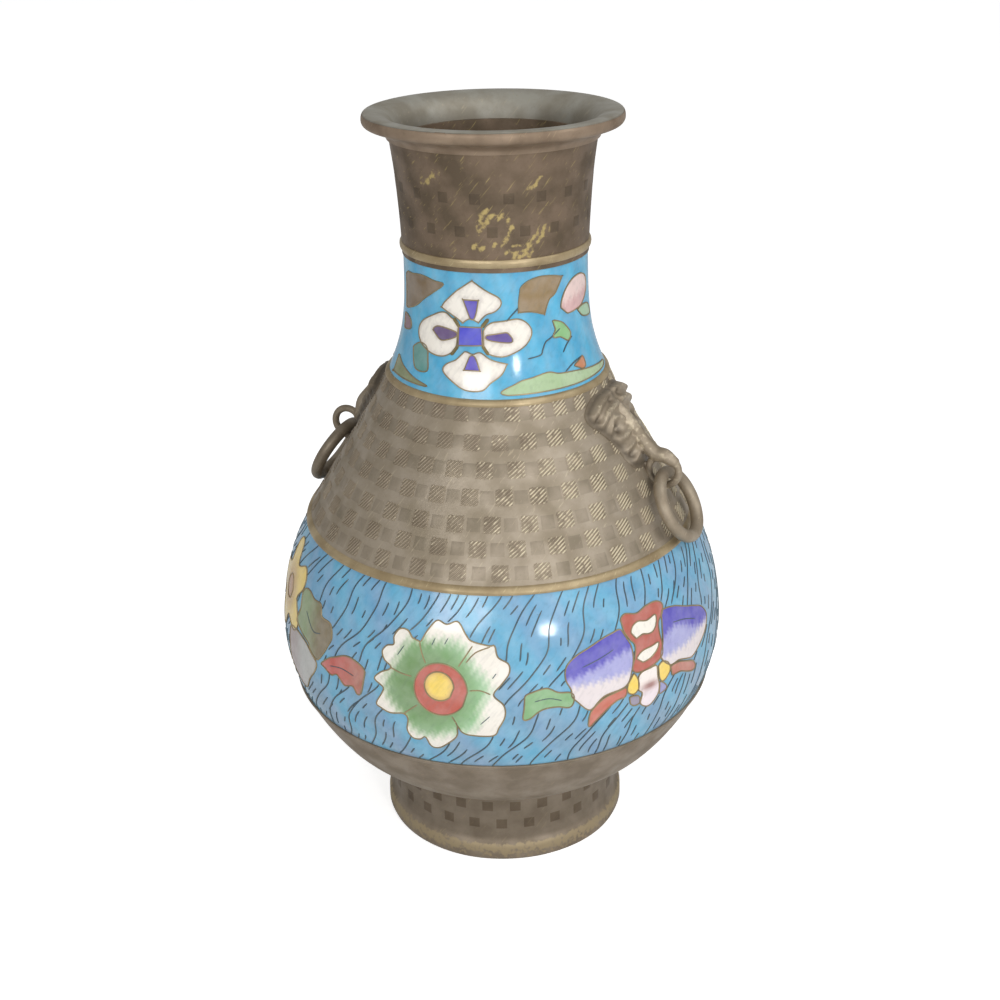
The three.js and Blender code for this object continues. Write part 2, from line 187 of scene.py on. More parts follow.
# Stems beside the motifs, walls between the lotus petals, and veins, as (spot, width, lines)
SHORT_WALLS = [
    (QUATREFOIL, STEM, [
        [(29.4, 0), (25.3, -2.3), (23.4, -3.2), (22.1, -5.4), (21.2, -6.8), (17, -7.4)],
        [(34.4, -3.6), (31.6, -5.4), (29.6, -7.5)], [(14.8, 8.6), (12.5, 6.4), (10.7, 4.5)],
        [(29, -13.2), (33, -11.4), (37.2, -10.6)],
    ]),
    (QUATREFOIL, CORNER_WALL, [
        [(-4.6, 2.4), (-6.6, 5)], [(2.7, 2.6), (5, 5.4)], [(3, -2.8), (5, -5.6)],
        [(-4.8, -3.3), (-7, -6.4)],
    ]),
    (LOTUS, BELLY_WALL, [
        [(-5, 8), (-6.4, 11), (-7.4, 14.2)], [(5.6, 8), (8, 11.6), (10, 14.6)],
        [(9.2, 0.6), (12.4, 0.8), (15.6, -0.4)], [(3.6, -8.6), (4.8, -10.6), (5.4, -12.4)],
        [(-7.4, -6.2), (-10, -8.4), (-12.2, -10.4)], [(-9.4, 3), (-13.4, 3.4), (-17, 4.4)],
        [(8, 9.4), (11, 12.6), (15.6, 14.4)],
    ]),
    (LOTUS, VEIN, [
        [(-2.2, 16), (-3.2, 13.7)], [(2, 16.3), (1, 14.4)], [(-12.6, 12.2), (-14.7, 8.8)],
        [(16.2, 4.7), (17.4, 6.3)], [(15.3, -7.8), (12.4, -10.8)], [(-58.6, 9), (-53, 4.6), (-48.4, 5.4)],
        [(29, -3.4), (33.4, -2.8), (37.4, -4)], [(-42, -3.2), (-36.4, -2), (-31, -2.6)],
    ]),
    (BUTTERFLY, VEIN, [
        [(-22.6, 5.6), (-17, 7), (-11.4, 8.8)], [(14.6, 9.4), (21, 8), (27.4, 5.4)],
    ]),
]

# Cells that stand for more than one solid of the frame
SHARED_CELLS = {"lotus_petals": "lotus_star"}

# Diaper of squares with slanting ridges: heights of its rows, squares in a row, and the ridges
SHOULDER_ROWS = [122.2, 128.4, 134.8, 142, 149.2, 156.5, 164.2]
SHOULDER_SQUARES = 30
SHOULDER_FIRST = 7
SHOULDER_SHIFT = 5.3
SHIFT_TOP = 150
SHIFT_HEIGHT = 28
HATCHED_SIZE = 5.6
SMOOTH_SIZE = 4.6
SQUARE_SHARE = 0.62
SQUARE_RISE = 0.03
SQUARE_FOOT = -0.05
SQUARE_DEPTH = -0.6
SQUARE_STEPS = [-0.5, -0.44, -0.22, 0, 0.22, 0.44, 0.5]
RIDGE_PITCH = 0.95
RIDGE_WIDTH = 0.52
RIDGE_RISE = 0.3
DIAPER_CREASE = 60
# Squares on collar and foot, as (name, heights, squares in a row, first angle, size, finish)
OTHER_SQUARES = [
    ("upper_neck_squares", [219, 229], 19, 4, 3.5, "collar_dark"),
    ("foot_squares", [14.1, 21.2], 27, 9.4, 4, "foot_dark"),
]

# Strokes rubbed bright on the upper neck, as [along, up] from a spot in front of the camera
WEAR_SPOT = (24.6, 222, 30)
WEAR_STROKES = [
    [(-5, -3), (-3.4, -0.4), (-0.8, 2), (0.8, 1.5), (3, 1.4), (4.6, 0), (4.2, -3), (2.4, -5.2), (0, -7)],
    [(-6.4, -7.2), (-3, -8.2)],
    [(3, -9.2), (10, -8.5), (17, -3)],
    [(5, -7.6), (10.4, -6.6), (15.4, -2.4)],
    [(5.8, -11.2), (10.8, -10.2)],
    [(-5, 0.8), (-2.7, 3.8)],
    [(-22.3, 10.4), (-17, 14.2)],
    [(10.4, 10), (13.5, 12.7)],
]

# Where the collar's outer face starts, and the painted shade inside the lip, darker deeper into the mouth:
# its top, depth, radius and strength
COLLAR_OUTER = 29
LIP_SHADE_TOP = 247
LIP_SHADE_DEPTH = 5
LIP_SHADE_RADIUS = 33
LIP_SHADE = -0.5

# Wear as two rows: of the ridges by degrees round, brighter towards the right as a painted highlight, of the
# foot by height, of the handles by stand-out. A value below 0 is painted shade.
RIDGE_WEAR_AND_HIGHLIGHT = ([-180, -120, -60, 0, 30, 60, 100, 180], [0.5, 0.4, 0.05, 0.1, 0.42, 0.72, 0.72, 0.5])
FOOT_WEAR_AND_SHADE = ([0, 1.4, 2.2, 6, 7.4, 24, 27], [-0.2, 0.3, 0.7, 0.7, -0.25, -0.25, 0])
HANDLE_WEAR_AND_SHADE = ([0, 1.2, 2.4, 4, 8], [-0.3, -0.75, -0.05, 0.4, 0.2])

# Eyelet and ring on the right side
EYELET_X = 58.1
EYELET_Z = 139
EYELET_RADIUS = 4.9
EYELET_WIRE = 1.1
EYELET_SKIN = 0.15
RING_RADIUS = 11
RING_WIRE = 2.1
RING_SLOPE = 30
RING_GAP = 0.3

# Half of the mask's outline as [across, up] from its middle, and its raised lines as (width, height, line)
MASK_SPOT = (90, 151, 46)
MASK_HALF = [(8, 13.8), (16.2, 11), (18.4, 7.2), (12.4, 1.2), (9.6, -3.6), (7.4, -8.4), (3.6, -11)]
MASK_RIDGES = [
    (1.3, 1.7, [(16.4, 8), (9.6, 11.2), (2.4, 12.4)]),
    (1.1, 1.7, [(15, 4.4), (9, 7.4), (2, 8.6)]),
    (0.8, 1.1, [(11.8, 1.4), (8.2, 4.8), (4.6, 4.9), (2.4, 3.6)]),
    (1.1, 1.5, [(11, -0.6), (6.4, -0.6), (2.2, 0.4)]),
    (0.9, 1.2, [(8.8, -4.6), (5.2, -4), (2, -2.8)]),
    (0.9, 1.1, [(6.8, -8.6), (4.4, -7.4), (2, -6.4)]),
]
# Hollows of the mask, as (width, depth, across, up): the eyes, and the dents beside them
MASK_HOLLOWS = [(1.5, 2, 7, 2.2), (1.2, 1, 14.6, 6.6), (1.3, 1.1, 4.4, 10.4), (1.2, 1, 5.6, -6)]
MASK_EDGE = 0.2
MASK_LEAST = 0.25
MASK_FULL = 2.3
MASK_SWELL = 2.4
MASK_VOXEL = 0.28
# The trunk as (up, out, radius), and its end as (outwards, up, radius) from the eyelet's top
TRUNK = [(9, 1.4, 1.4), (4, 2.4, 2), (-1, 3.3, 2.3), (-5.4, 4, 2.4)]
RIGHT_CURL = [(-2.8, 0.7, 2.5), (0.4, 0.2, 2.4), (3.4, -1.5, 1.8)]
LEFT_CURL = [(-5.2, 0.2, 2), (-4, -1.6, 1.6)]
# Painted shade on the left mask, eyelet and ring, on the side away from the light.
LEFT_SHADE = -0.45
HANDLE_CREASE = 80

# Colours of the glass. Each ground has its top, low, bright and grey blue; the belly's duller low blue is
# partly the glass's colour and partly painted shade on the lower belly.
WHITE = (234, 228, 217)
LEAF_GREEN = (106, 140, 87)
PALE_GREEN = (150, 192, 146)
RED = (182, 88, 72)
YELLOW = (236, 204, 96)
GOLD = (204, 166, 98)
VIOLET = (84, 76, 176)
LAVENDER = (158, 158, 206)
BELLY_BLUES = [(98, 156, 192), (116, 152, 178), (94, 168, 200), (118, 152, 188)]
NECK_BLUES = [(62, 154, 194), (68, 160, 200), (82, 174, 210), (88, 156, 188)]

# Painted shade for the hollows and shaded places of the bronze, and how scratches slant across the camera's
# side of the vase
PAINTED_SHADE = (58, 50, 40)
SLANT = (0, 38, 24.6)

# Bronze finishes: the material's name, its base, dark and worn colours, and a roughness that differs
BRONZES = {
    "collar": ("dark_bronze_collar", (120, 102, 84), (94, 80, 63), (176, 156, 102)),
    "collar_dark": ("dark_bronze_squares", (100, 85, 67), (82, 69, 54), (132, 114, 86)),
    "shoulder": ("bronze_shoulder", (160, 148, 131), (140, 128, 109), (188, 175, 150)),
    "shoulder_dark": ("bronze_shoulder_squares", (150, 138, 121), (128, 117, 99), (172, 159, 135)),
    "foot": ("bronze_foot", (144, 131, 114), (124, 111, 94), (158, 142, 112)),
    "foot_dark": ("bronze_foot_squares", (108, 94, 77), (92, 79, 63), (124, 109, 86)),
    "groove": ("hatch_grooves", (146, 134, 115), (124, 112, 94), (156, 143, 121)),
    "ridge": ("hatch_ridges", (156, 143, 124), (138, 125, 107), (206, 194, 168)),
    "rib": ("worn_rib", (174, 156, 122), (146, 128, 96), (204, 188, 150), 0.42),
    "wire": ("ground_wire", (96, 108, 110), (72, 90, 100), (150, 142, 116)),
    "cell": ("cell_walls", (158, 140, 106), (132, 118, 90), (190, 170, 128)),
    "olive_wall": ("corner_walls", (132, 118, 76), (110, 98, 62), (160, 146, 98)),
    "handle": ("handle_bronze", (162, 149, 130), (134, 121, 102), (190, 177, 152)),
    "lip": ("lip_bronze", (160, 157, 146), (140, 134, 120), (172, 162, 140)),
    "lip_edge": ("lip_edge_bronze", (146, 127, 107), (122, 104, 85), (168, 148, 120)),
    "inside": ("inside_bronze", (104, 106, 104), (74, 76, 76), (128, 124, 112), 0.6),
}
BRONZE_METALLIC = 0.45
BRONZE_ROUGHNESS = 0.5
GLASS_ROUGHNESS = 0.13


def columns(*values):
    return np.stack(values, -1)


def catmull(points, steps):
    """A smooth line through points, with a number of steps between each two."""
    points = np.array(points, float)
    ends = np.vstack([points[0], points, points[-1]])
    t = (np.arange(steps) / steps)[:, None]
    rows = []
    for before, a, b, after in zip(ends, ends[1:], ends[2:], ends[3:]):
        lead, trail = (b - before) / 2, (after - a) / 2
        cubic, square = 2 * a - 2 * b + lead + trail, 3 * b - 3 * a - 2 * lead - trail
        rows.append(cubic * t**3 + square * t**2 + lead * t + a)
    return np.vstack(rows + [points[-1:]])


WALL_Z, WALL_R = np.vstack([np.array(FOOT_OUTLINE, float), catmull(OUTLINE, OUTLINE_STEPS)]).T
WALL_SLOPE = np.gradient(WALL_R, WALL_Z)


def wall_radius(z):
    return np.interp(z, WALL_Z, WALL_R)


def wall_slope(z):
    return np.interp(z, WALL_Z, WALL_SLOPE)


def unevenness(angle, z):
    """The small hollows and swells of a hand-finished casting."""
    broad = 0.07 * np.sin(2 * angle + 0.045 * z) + 0.05 * np.sin(5 * angle - 0.08 * z + 1.3)
    return broad + 0.02 * np.sin(11 * angle + 0.19 * z + 0.4) - 0.14


def round_axis(angle, radius, z):
    return columns(radius * np.sin(angle), -radius * np.cos(angle), z)


def angle_of(points):
    return np.arctan2(points[:, 0], -points[:, 1])


def radius_of(points):
    return np.hypot(points[:, 0], points[:, 1])


def on_wall(angle, z, out=0.0):
    """Points at angles and heights on the wall, moved out along its normal."""
    angle, z = np.asarray(angle, float), np.asarray(z, float)
    slope = wall_slope(z)
    tilt = 1 / np.sqrt(1 + slope**2)
    return round_axis(angle, wall_radius(z) + unevenness(angle, z) + out * tilt, z - out * slope * tilt)


def linear(colour):
    """A 0 to 255 colour as linear light."""
    value = np.asarray(colour, float) / 255
    return np.where(value <= 0.04045, value / 12.92, ((value + 0.055) / 1.055) ** 2.4)


def blend(a, b, share):
    """Rows of colour a with a share of b in each, from 0 to 1."""
    share = share[:, None]
    return np.asarray(a, float) * (1 - share) + np.asarray(b, float) * share


def fade(a, b, t):
    """Colours between a and b, as rows."""
    return blend(a, b, np.clip(np.asarray(t, float), 0, 1))


# Materials


def feed(tree, node, inputs):
    """Sets or links inputs. A tuple is a 0 to 255 colour, and a list is a vector."""
    for key, value in inputs.items():
        if isinstance(value, bpy.types.NodeSocket):
            tree.links.new(value, node.inputs[key])
        else:
            node.inputs[key].default_value = (*linear(value), 1) if isinstance(value, tuple) else value


def new_node(tree, kind, inputs, **options):
    node = tree.nodes.new(f"ShaderNode{kind}")
    for option, value in options.items():
        setattr(node, option, value)
    feed(tree, node, inputs)
    return node


def new_material(name, metallic, roughness):
    material = bpy.data.materials.new(name)
    material.use_nodes = True
    tree = material.node_tree
    shader = tree.nodes["Principled BSDF"]
    feed(tree, shader, {"Metallic": metallic, "Roughness": roughness})
    return material, tree, shader


def noise(tree, size, detail, stretch=(1, 1, 1), turn=(0, 0, 0)):
    """Noise with features about size millimetres across, from 0 to 1, lengthened along turned axes."""
    place = new_node(tree, "TexCoord", {})
    mapping = new_node(tree, "Mapping", {
        "Vector": place.outputs["Object"],
        "Scale": list(stretch),
        "Rotation": [math.radians(a) for a in turn],
    }, vector_type="TEXTURE")
    return new_node(tree, "TexNoise", {
        "Vector": mapping.outputs["Vector"], "Scale": 1 / (size * MM), "Detail": detail,
    }).outputs["Fac"]


def span(tree, value, low, high, to_low=0.0, to_high=1.0):
    """Maps a value from one range to another, clamped."""
    return new_node(tree, "MapRange", {
        "Value": value, "From Min": low, "From Max": high, "To Min": to_low, "To Max": to_high,
    }).outputs["Result"]


def maths(tree, kind, a, b):
    return new_node(tree, "Math", {0: a, 1: b}, operation=kind).outputs[0]


def mix(tree, factor, a, b):
    """Mixes two colours, each a socket or a 0 to 255 colour."""
    return new_node(tree, "Mix", {0: factor, 6: a, 7: b}, data_type="RGBA").outputs[2]


def attribute(tree, name, output):
    return new_node(tree, "Attribute", {}, attribute_name=name).outputs[output]


def set_surface(tree, shader, colour, roughness, height, strength, distance):
    """Gives a shader its colour and roughness, and a bump of a distance in millimetres."""
    normal = new_node(tree, "Bump", {"Height": height, "Strength": strength, "Distance": distance * MM})
    feed(tree, shader, {"Base Color": colour, "Roughness": roughness, "Normal": normal.outputs["Normal"]})


def bronze(name, base, dark, worn, roughness=BRONZE_ROUGHNESS):
    """Patinated cast bronze: blotches, grain, slanting scratches, rubbed spots, and painted shade where the
    per-point wear value is below 0.
    """
    material, tree, shader = new_material(name, BRONZE_METALLIC, roughness)
    blotches = span(tree, noise(tree, 9, 5), 0.36, 0.64)
    grain = noise(tree, 0.9, 3)
    scratches = noise(tree, 0.5, 2, (1, 4, 14), SLANT)
    colour = mix(tree, blotches, dark, base)
    colour = mix(tree, span(tree, grain, 0.58, 0.75, 0, 0.5), colour, dark)
    colour = mix(tree, span(tree, scratches, 0.64, 0.74, 0, 0.5), colour, worn)
    wear_and_shade = attribute(tree, "wear_and_shade", "Fac")
    rub = maths(tree, "ADD", wear_and_shade, span(tree, noise(tree, 1.6, 5), 0.3, 0.7, -0.35, 0.35))
    colour = mix(tree, span(tree, rub, 0.3, 0.62), colour, worn)
    # Painted shade: a per-point value below 0 darkens the colour towards the shade colour, standing in for
    # shadow in hollows and shaded places.
    colour = mix(tree, span(tree, wear_and_shade, -1, 0, 0.8, 0), colour, PAINTED_SHADE)
    gloss = span(tree, blotches, 0, 1, roughness + 0.1, roughness - 0.06)
    height = maths(tree, "ADD", grain, maths(tree, "MULTIPLY", scratches, 0.7))
    set_surface(tree, shader, colour, gloss, height, 0.35, 0.12)
    return material


def enamel(name):
    """Fired glass: the tint of each cell, clouded, with small pits and a soft gloss."""
    material, tree, shader = new_material(name, 0.0, GLASS_ROUGHNESS)
    clouds = noise(tree, 5, 4)
    specks = noise(tree, 0.55, 2)
    streaks = noise(tree, 1.2, 4, (1, 1, 4), SLANT)
    tint = attribute(tree, "tint", "Color")
    colour = mix(tree, span(tree, clouds, 0.3, 0.7, 0, 0.1), tint, (255, 255, 255))
    colour = mix(tree, span(tree, streaks, 0.5, 0.8, 0, 0.2), colour, (84, 94, 96))
    colour = mix(tree, span(tree, specks, 0.72, 0.78, 0, 0.35), colour, (90, 84, 74))
    gloss = span(tree, clouds, 0.3, 0.7, GLASS_ROUGHNESS + 0.06, GLASS_ROUGHNESS - 0.04)
    pits = maths(tree, "MULTIPLY", span(tree, specks, 0.66, 0.74), 0.5)
    set_surface(tree, shader, colour, gloss, maths(tree, "SUBTRACT", noise(tree, 3.4, 2), pits), 0.16, 0.14)
    return material


FINISHES = {key: bronze(*settings) for key, settings in BRONZES.items()}
FINISHES["enamel"] = enamel("fired_enamel")


# Meshes


def joined(parts):
    """One list of points and one of faces from several."""
    points, faces, start = [], [], 0
    for part_points, part_faces in parts:
        points.append(np.asarray(part_points, float))
        faces.extend([tuple(i + start for i in face) for face in part_faces])
        start += len(part_points)
    return np.vstack(points), faces


def add_object(name, data):
    made = bpy.data.objects.new(name, data)
    bpy.context.scene.collection.objects.link(made)
    return made


def new_mesh(name, shape):
    mesh = bpy.data.meshes.new(name)
    mesh.from_pydata((np.asarray(shape[0]) * MM).tolist(), [], shape[1])
    return mesh


def piece(name, shape, finish, body="vase", replaces=(), tint=None, wear_and_shade=None, crease=38):
    """Makes a closed mesh in the scene that rides on a body."""
    mesh = new_mesh(name, shape)
    mesh.materials.append(FINISHES[finish])
    if tint is not None:
        colours = np.ones((len(shape[0]), 4), np.float32)
        colours[:, :3] = linear(tint)
        mesh.attributes.new("tint", "FLOAT_COLOR", "POINT").data.foreach_set("color", colours.ravel())
    # Above 0 the per-point value rubs the bronze bright as wear; below 0 it is painted shade.
    if wear_and_shade is not None:
        layer = mesh.attributes.new("wear_and_shade", "FLOAT", "POINT")
        layer.data.foreach_set("value", np.asarray(wear_and_shade, np.float32))
    mesh.shade_smooth()
    mesh.set_sharp_from_angle(angle=math.radians(crease))
    mesh.validate()
    made = add_object(name, mesh)
    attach(made, body)
    if replaces:
        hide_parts(*replaces)


def between_rings(rings, sides, closed, turn_over=False):
    """Faces from each ring of points to the next. An open row of rings gets end caps."""
    faces = []
    for i in range(rings if closed else rings - 1):
        here, there = i * sides, (i + 1) % rings * sides
        for j in range(sides):
            k = (j + 1) % sides
            corners = (here + j, here + k, there + k, there + j)
            faces.append((corners[0], *corners[:0:-1]) if turn_over else corners)
    if not closed:
        last = (rings - 1) * sides
        faces += [tuple(range(sides - 1, -1, -1)), tuple(range(last, last + sides))]
    return faces


def thickened(top, bottom, faces):
    """A closed pad from a sheet of faces, its points and the points below them."""
    count = len(top)
    half_edges = {(a, b) for face in faces for a, b in zip(face, face[1:] + face[:1])}
    sides = [(b, a, a + count, b + count) for a, b in sorted(half_edges) if (b, a) not in half_edges]
    under = [tuple(i + count for i in reversed(face)) for face in faces]
    return np.vstack([top, bottom]), faces + sides + under


def lathe(loop, turns, even=False):
    """A closed body of revolution from a loop of [radius, height] points that runs upwards outside."""
    radius, height = np.array(loop, float).T
    angle = (np.arange(turns) * FULL_TURN / turns)[:, None] + 0 * radius
    height = height + 0 * angle
    if not even:
        radius = radius + unevenness(angle, height)
    points = round_axis(angle, radius, height)
    return points.reshape(-1, 3), between_rings(turns, len(loop), True, True)


def along_wall(z, out=0.0):
    return columns(wall_radius(z) + out, z)


def band(low, high, rows, out=0.0, depth=SKIN):
    """A loop for lathe that follows the wall between two heights and closes behind it."""
    z = np.linspace(low, high, rows)
    return np.vstack([along_wall(z, out), along_wall(z[:: max(1, rows // 8)][::-1], out - depth)])


def rib_loop(low, high, out):
    """A rounded bead from its lower to its upper edge."""
    turn = np.linspace(0, math.pi, RIB_STEPS)
    z = (low + high) / 2 - (high - low) / 2 * np.cos(turn)
    face = along_wall(z, (out + RIB_ROOT) * np.sin(turn) ** RIB_ROUNDNESS - RIB_ROOT)
    return np.vstack([face, along_wall(np.array([high, low]), -SKIN)])


def ribbons(paths, width, low, high):
    """Raised strips along [angle, height] paths, flat on top. A closed path ends where it starts."""
    section = np.array([(-0.5, 0), (-0.48, 0.6), (-0.32, 1), (0.32, 1), (0.48, 0.6), (0.5, 0)])
    parts = []
    for path in paths:
        path = np.asarray(path, float)
        closed = np.allclose(path[0], path[-1])
        if closed:
            path = path[:-1]
        centre = on_wall(*path.T)
        out = on_wall(*path.T, 1) - centre
        if closed:
            along = np.roll(centre, -1, 0) - np.roll(centre, 1, 0)
        else:
            along = np.gradient(centre, axis=0)
        side = np.cross(along, out)
        side /= np.linalg.norm(side, axis=1)[:, None] + 1e-9
        taper = np.ones(len(path))
        if not closed:
            taper[0] = taper[-1] = 0.4
        across = section[None, :, 0, None] * width * taper[:, None, None]
        level = low + section[None, :, 1, None] * (high - low)
        points = centre[:, None] + side[:, None] * across + out[:, None] * level
        parts.append((points.reshape(-1, 3), between_rings(len(path), len(section), closed)))
    return joined(parts)


# Outlines of cells, in millimetres along and up from their motif's centre


def evenly(points, step):
    """Points about a step apart on a closed line."""
    points = np.vstack([points, points[:1]])
    length = np.concatenate([[0], np.cumsum(np.linalg.norm(np.diff(points, axis=0), axis=1))])
    count = max(8, int(length[-1] / step))
    at = np.linspace(0, length[-1], count, endpoint=False)
    return columns(*(np.interp(at, length, points[:, i]) for i in (0, 1)))


def smooth_outline(points, step=0.55):
    """A closed outline that rounds through its points. A point given twice stays sharp."""
    points = np.array(points, float)
    wrapped = np.vstack([points[-2:], points, points[:2]])
    line = catmull(wrapped, 8)[16:-16]
    keep = np.concatenate([[True], np.linalg.norm(np.diff(line, axis=0), axis=1) > 1e-4])
    return evenly(line[keep][:-1], step)


def rosette(petals, turn, shape, centre=(0, 0)):
    """A flower outline: each petal repeats the same [degrees, radius] points."""
    points = []
    for k in range(petals):
        for degrees, radius in shape:
            angle = math.radians(turn + degrees + 360 / petals * k)
            points.append((centre[0] + radius * math.cos(angle), centre[1] + radius * math.sin(angle)))
    return smooth_outline(points)


def place(spot, points):
    """Turns [along, up] points of a motif into [angle, height]."""
    degrees, height, reach = spot
    points = np.asarray(points, float)
    return columns(math.radians(degrees) + points[:, 0] / reach, height + points[:, 1])


def inside(points, outline):
    """Which points lie inside a closed outline."""
    x, y = points[:, 0][:, None], points[:, 1][:, None]
    x1, y1 = outline[:, 0][None], outline[:, 1][None]
    x2, y2 = np.roll(outline, -1, 0).T[:, None]
    crosses = ((y1 > y) != (y2 > y)) & (x < (x2 - x1) * (y - y1) / (y2 - y1 + 1e-12) + x1)
    return crosses.sum(1) % 2 == 1


def within(points, outline, holes):
    """Which points lie inside an outline and outside its holes."""
    kept = inside(points, outline)
    for hole in holes:
        kept &= ~inside(points, hole)
    return kept


def from_edge(points, lines):
    """Each point's distance from the nearest outline point."""
    edge = np.vstack(lines)
    return np.min(np.linalg.norm(points[:, None] - edge[None], axis=2), axis=1)


def outside(paths, outlines):
    """The stretches of [angle, height] paths that lie outside every outline."""
    points = np.vstack(paths)
    hidden = np.zeros(len(points), bool)
    for outline in outlines:
        middle = outline[:, 0].mean()
        angle = (points[:, 0] - middle + math.pi) % FULL_TURN - math.pi + middle
        near = (angle > outline[:, 0].min()) & (angle < outline[:, 0].max())
        hidden[near] |= inside(columns(angle[near], points[near, 1]), outline)
    kept, start = [], 0
    for path in paths:
        mask = hidden[start:start + len(path)]
        start += len(path)
        for stretch in np.split(np.arange(len(path)), np.flatnonzero(np.diff(mask)) + 1):
            if len(stretch) > 3 and not mask[stretch[0]]:
                kept.append(path[stretch])
    return kept


def fill(spot, outline, holes=(), level=FILL_LEVEL, depth=FILL_DEPTH, spacing=0.9, swell=0.07):
    """A closed pad that fills an outline on the wall, at a level or at one given for each flat point.

    Gives its mesh, its flat points and their distances from the edge.
    """
    lines = [outline, *holes]
    low, high = outline.min(0), outline.max(0)
    grid = columns(*np.meshgrid(*(np.arange(a, b, spacing) for a, b in zip(low, high)))).reshape(-1, 2)
    grid = grid[within(grid, outline, holes)]
    if len(grid):
        grid = grid[from_edge(grid, lines) > 0.4 * spacing]
    edges, start = [], 0
    for line in lines:
        edges.extend((start + i, start + (i + 1) % len(line)) for i in range(len(line)))
        start += len(line)
    made = delaunay_2d_cdt([Vector(p) for p in np.vstack([*lines, grid]).tolist()], edges, [], 1, 1e-5)
    flat = np.array([tuple(p) for p in made[0]])
    middles = np.array([flat[list(face)].mean(0) for face in made[2]])
    faces = [tuple(face) for face, keep in zip(made[2], within(middles, outline, holes)) if keep]
    away = from_edge(flat, lines)
    angle, z = place(spot, flat).T
    rise = level(flat, away) if callable(level) else level - swell * np.exp(-away / 1.1)
    shape = thickened(on_wall(angle, z, rise), on_wall(angle, z, depth), faces)
    return shape, np.vstack([flat, flat]), np.tile(away, 2)


# Motifs


def rimmed(edge, colour, reach):
    """A tint that runs from an edge colour to another."""
    return lambda flat, away: fade(edge, colour, away / reach)


def streaks(flat):
    """Fine slanting streaks in the glass, from -1 to 1."""
    return np.sin(FULL_TURN * (0.87 * flat[:, 0] - 0.5 * flat[:, 1]) / 2.4)


def layered(base, *layers):
    """A tint in layers: a colour at the bottom, then each colour above its line of [along, up] points."""
    def paint(flat, away):
        colours = np.tile(np.array(base, float), (len(flat), 1))
        for colour, line in layers:
            along, up = np.array(line, float).T
            share = (flat[:, 1] - np.interp(flat[:, 0], along, up)) / 1.8 + 0.4 * streaks(flat)
            colours = fade(colours, colour, share)
        return colours
    return paint


def run_along(start, first, length, second):
    """A tint that runs from one colour to another along a cell."""
    return lambda flat, away: fade(first, second, (flat[:, 0] - start) / length + 0.12 * streaks(flat))


def lotus_paint(flat, away):
    """White petal tips that run into a green star, greener on the left."""
    turn, radius = np.arctan2(flat[:, 1], flat[:, 0]), radius_of(flat)
    edge = 14 + 1.8 * np.cos(turn - math.radians(195)) + 0.9 * np.cos(6 * turn - 0.9)
    green = fade(LEAF_GREEN, PALE_GREEN, 0.3 + flat[:, 0] / 30 + (radius - 11) / 12)
    return fade(green, WHITE, (radius - edge) / 4 + 0.24 * streaks(flat))


def flower_paint(flat, away):
    radius = radius_of(flat - YELLOW_FLOWER)
    return fade((196, 160, 92), (232, 204, 112), (radius - 5) / 5)


def head_paint(flat, away):
    """A pale face with a darker mouth."""
    pale = fade((232, 218, 222), (236, 226, 220), (flat[:, 1] + 9) / 3)
    mouth = np.exp(-(((flat[:, 0] - 1.6) / 3) ** 2 + ((flat[:, 1] + 7.2) / 1.3) ** 2))
    return blend(pale, (150, 105, 100), mouth)


# White petals that turn greyer towards their edges, as painted shade beside the walls.
def petal_paint(flat, away):
    return fade((206, 198, 190), WHITE, away / 1.4 + 0.3 * streaks(flat))


wing_paint = layered((220, 210, 210), (LAVENDER, [(-24, -1), (20, -1), (34, 1)]),
                     (VIOLET, [(-26, 1.5), (-8, 6.5), (9, 5.5), (15, 7.5), (20, 6), (25, 3), (31, 1)]))

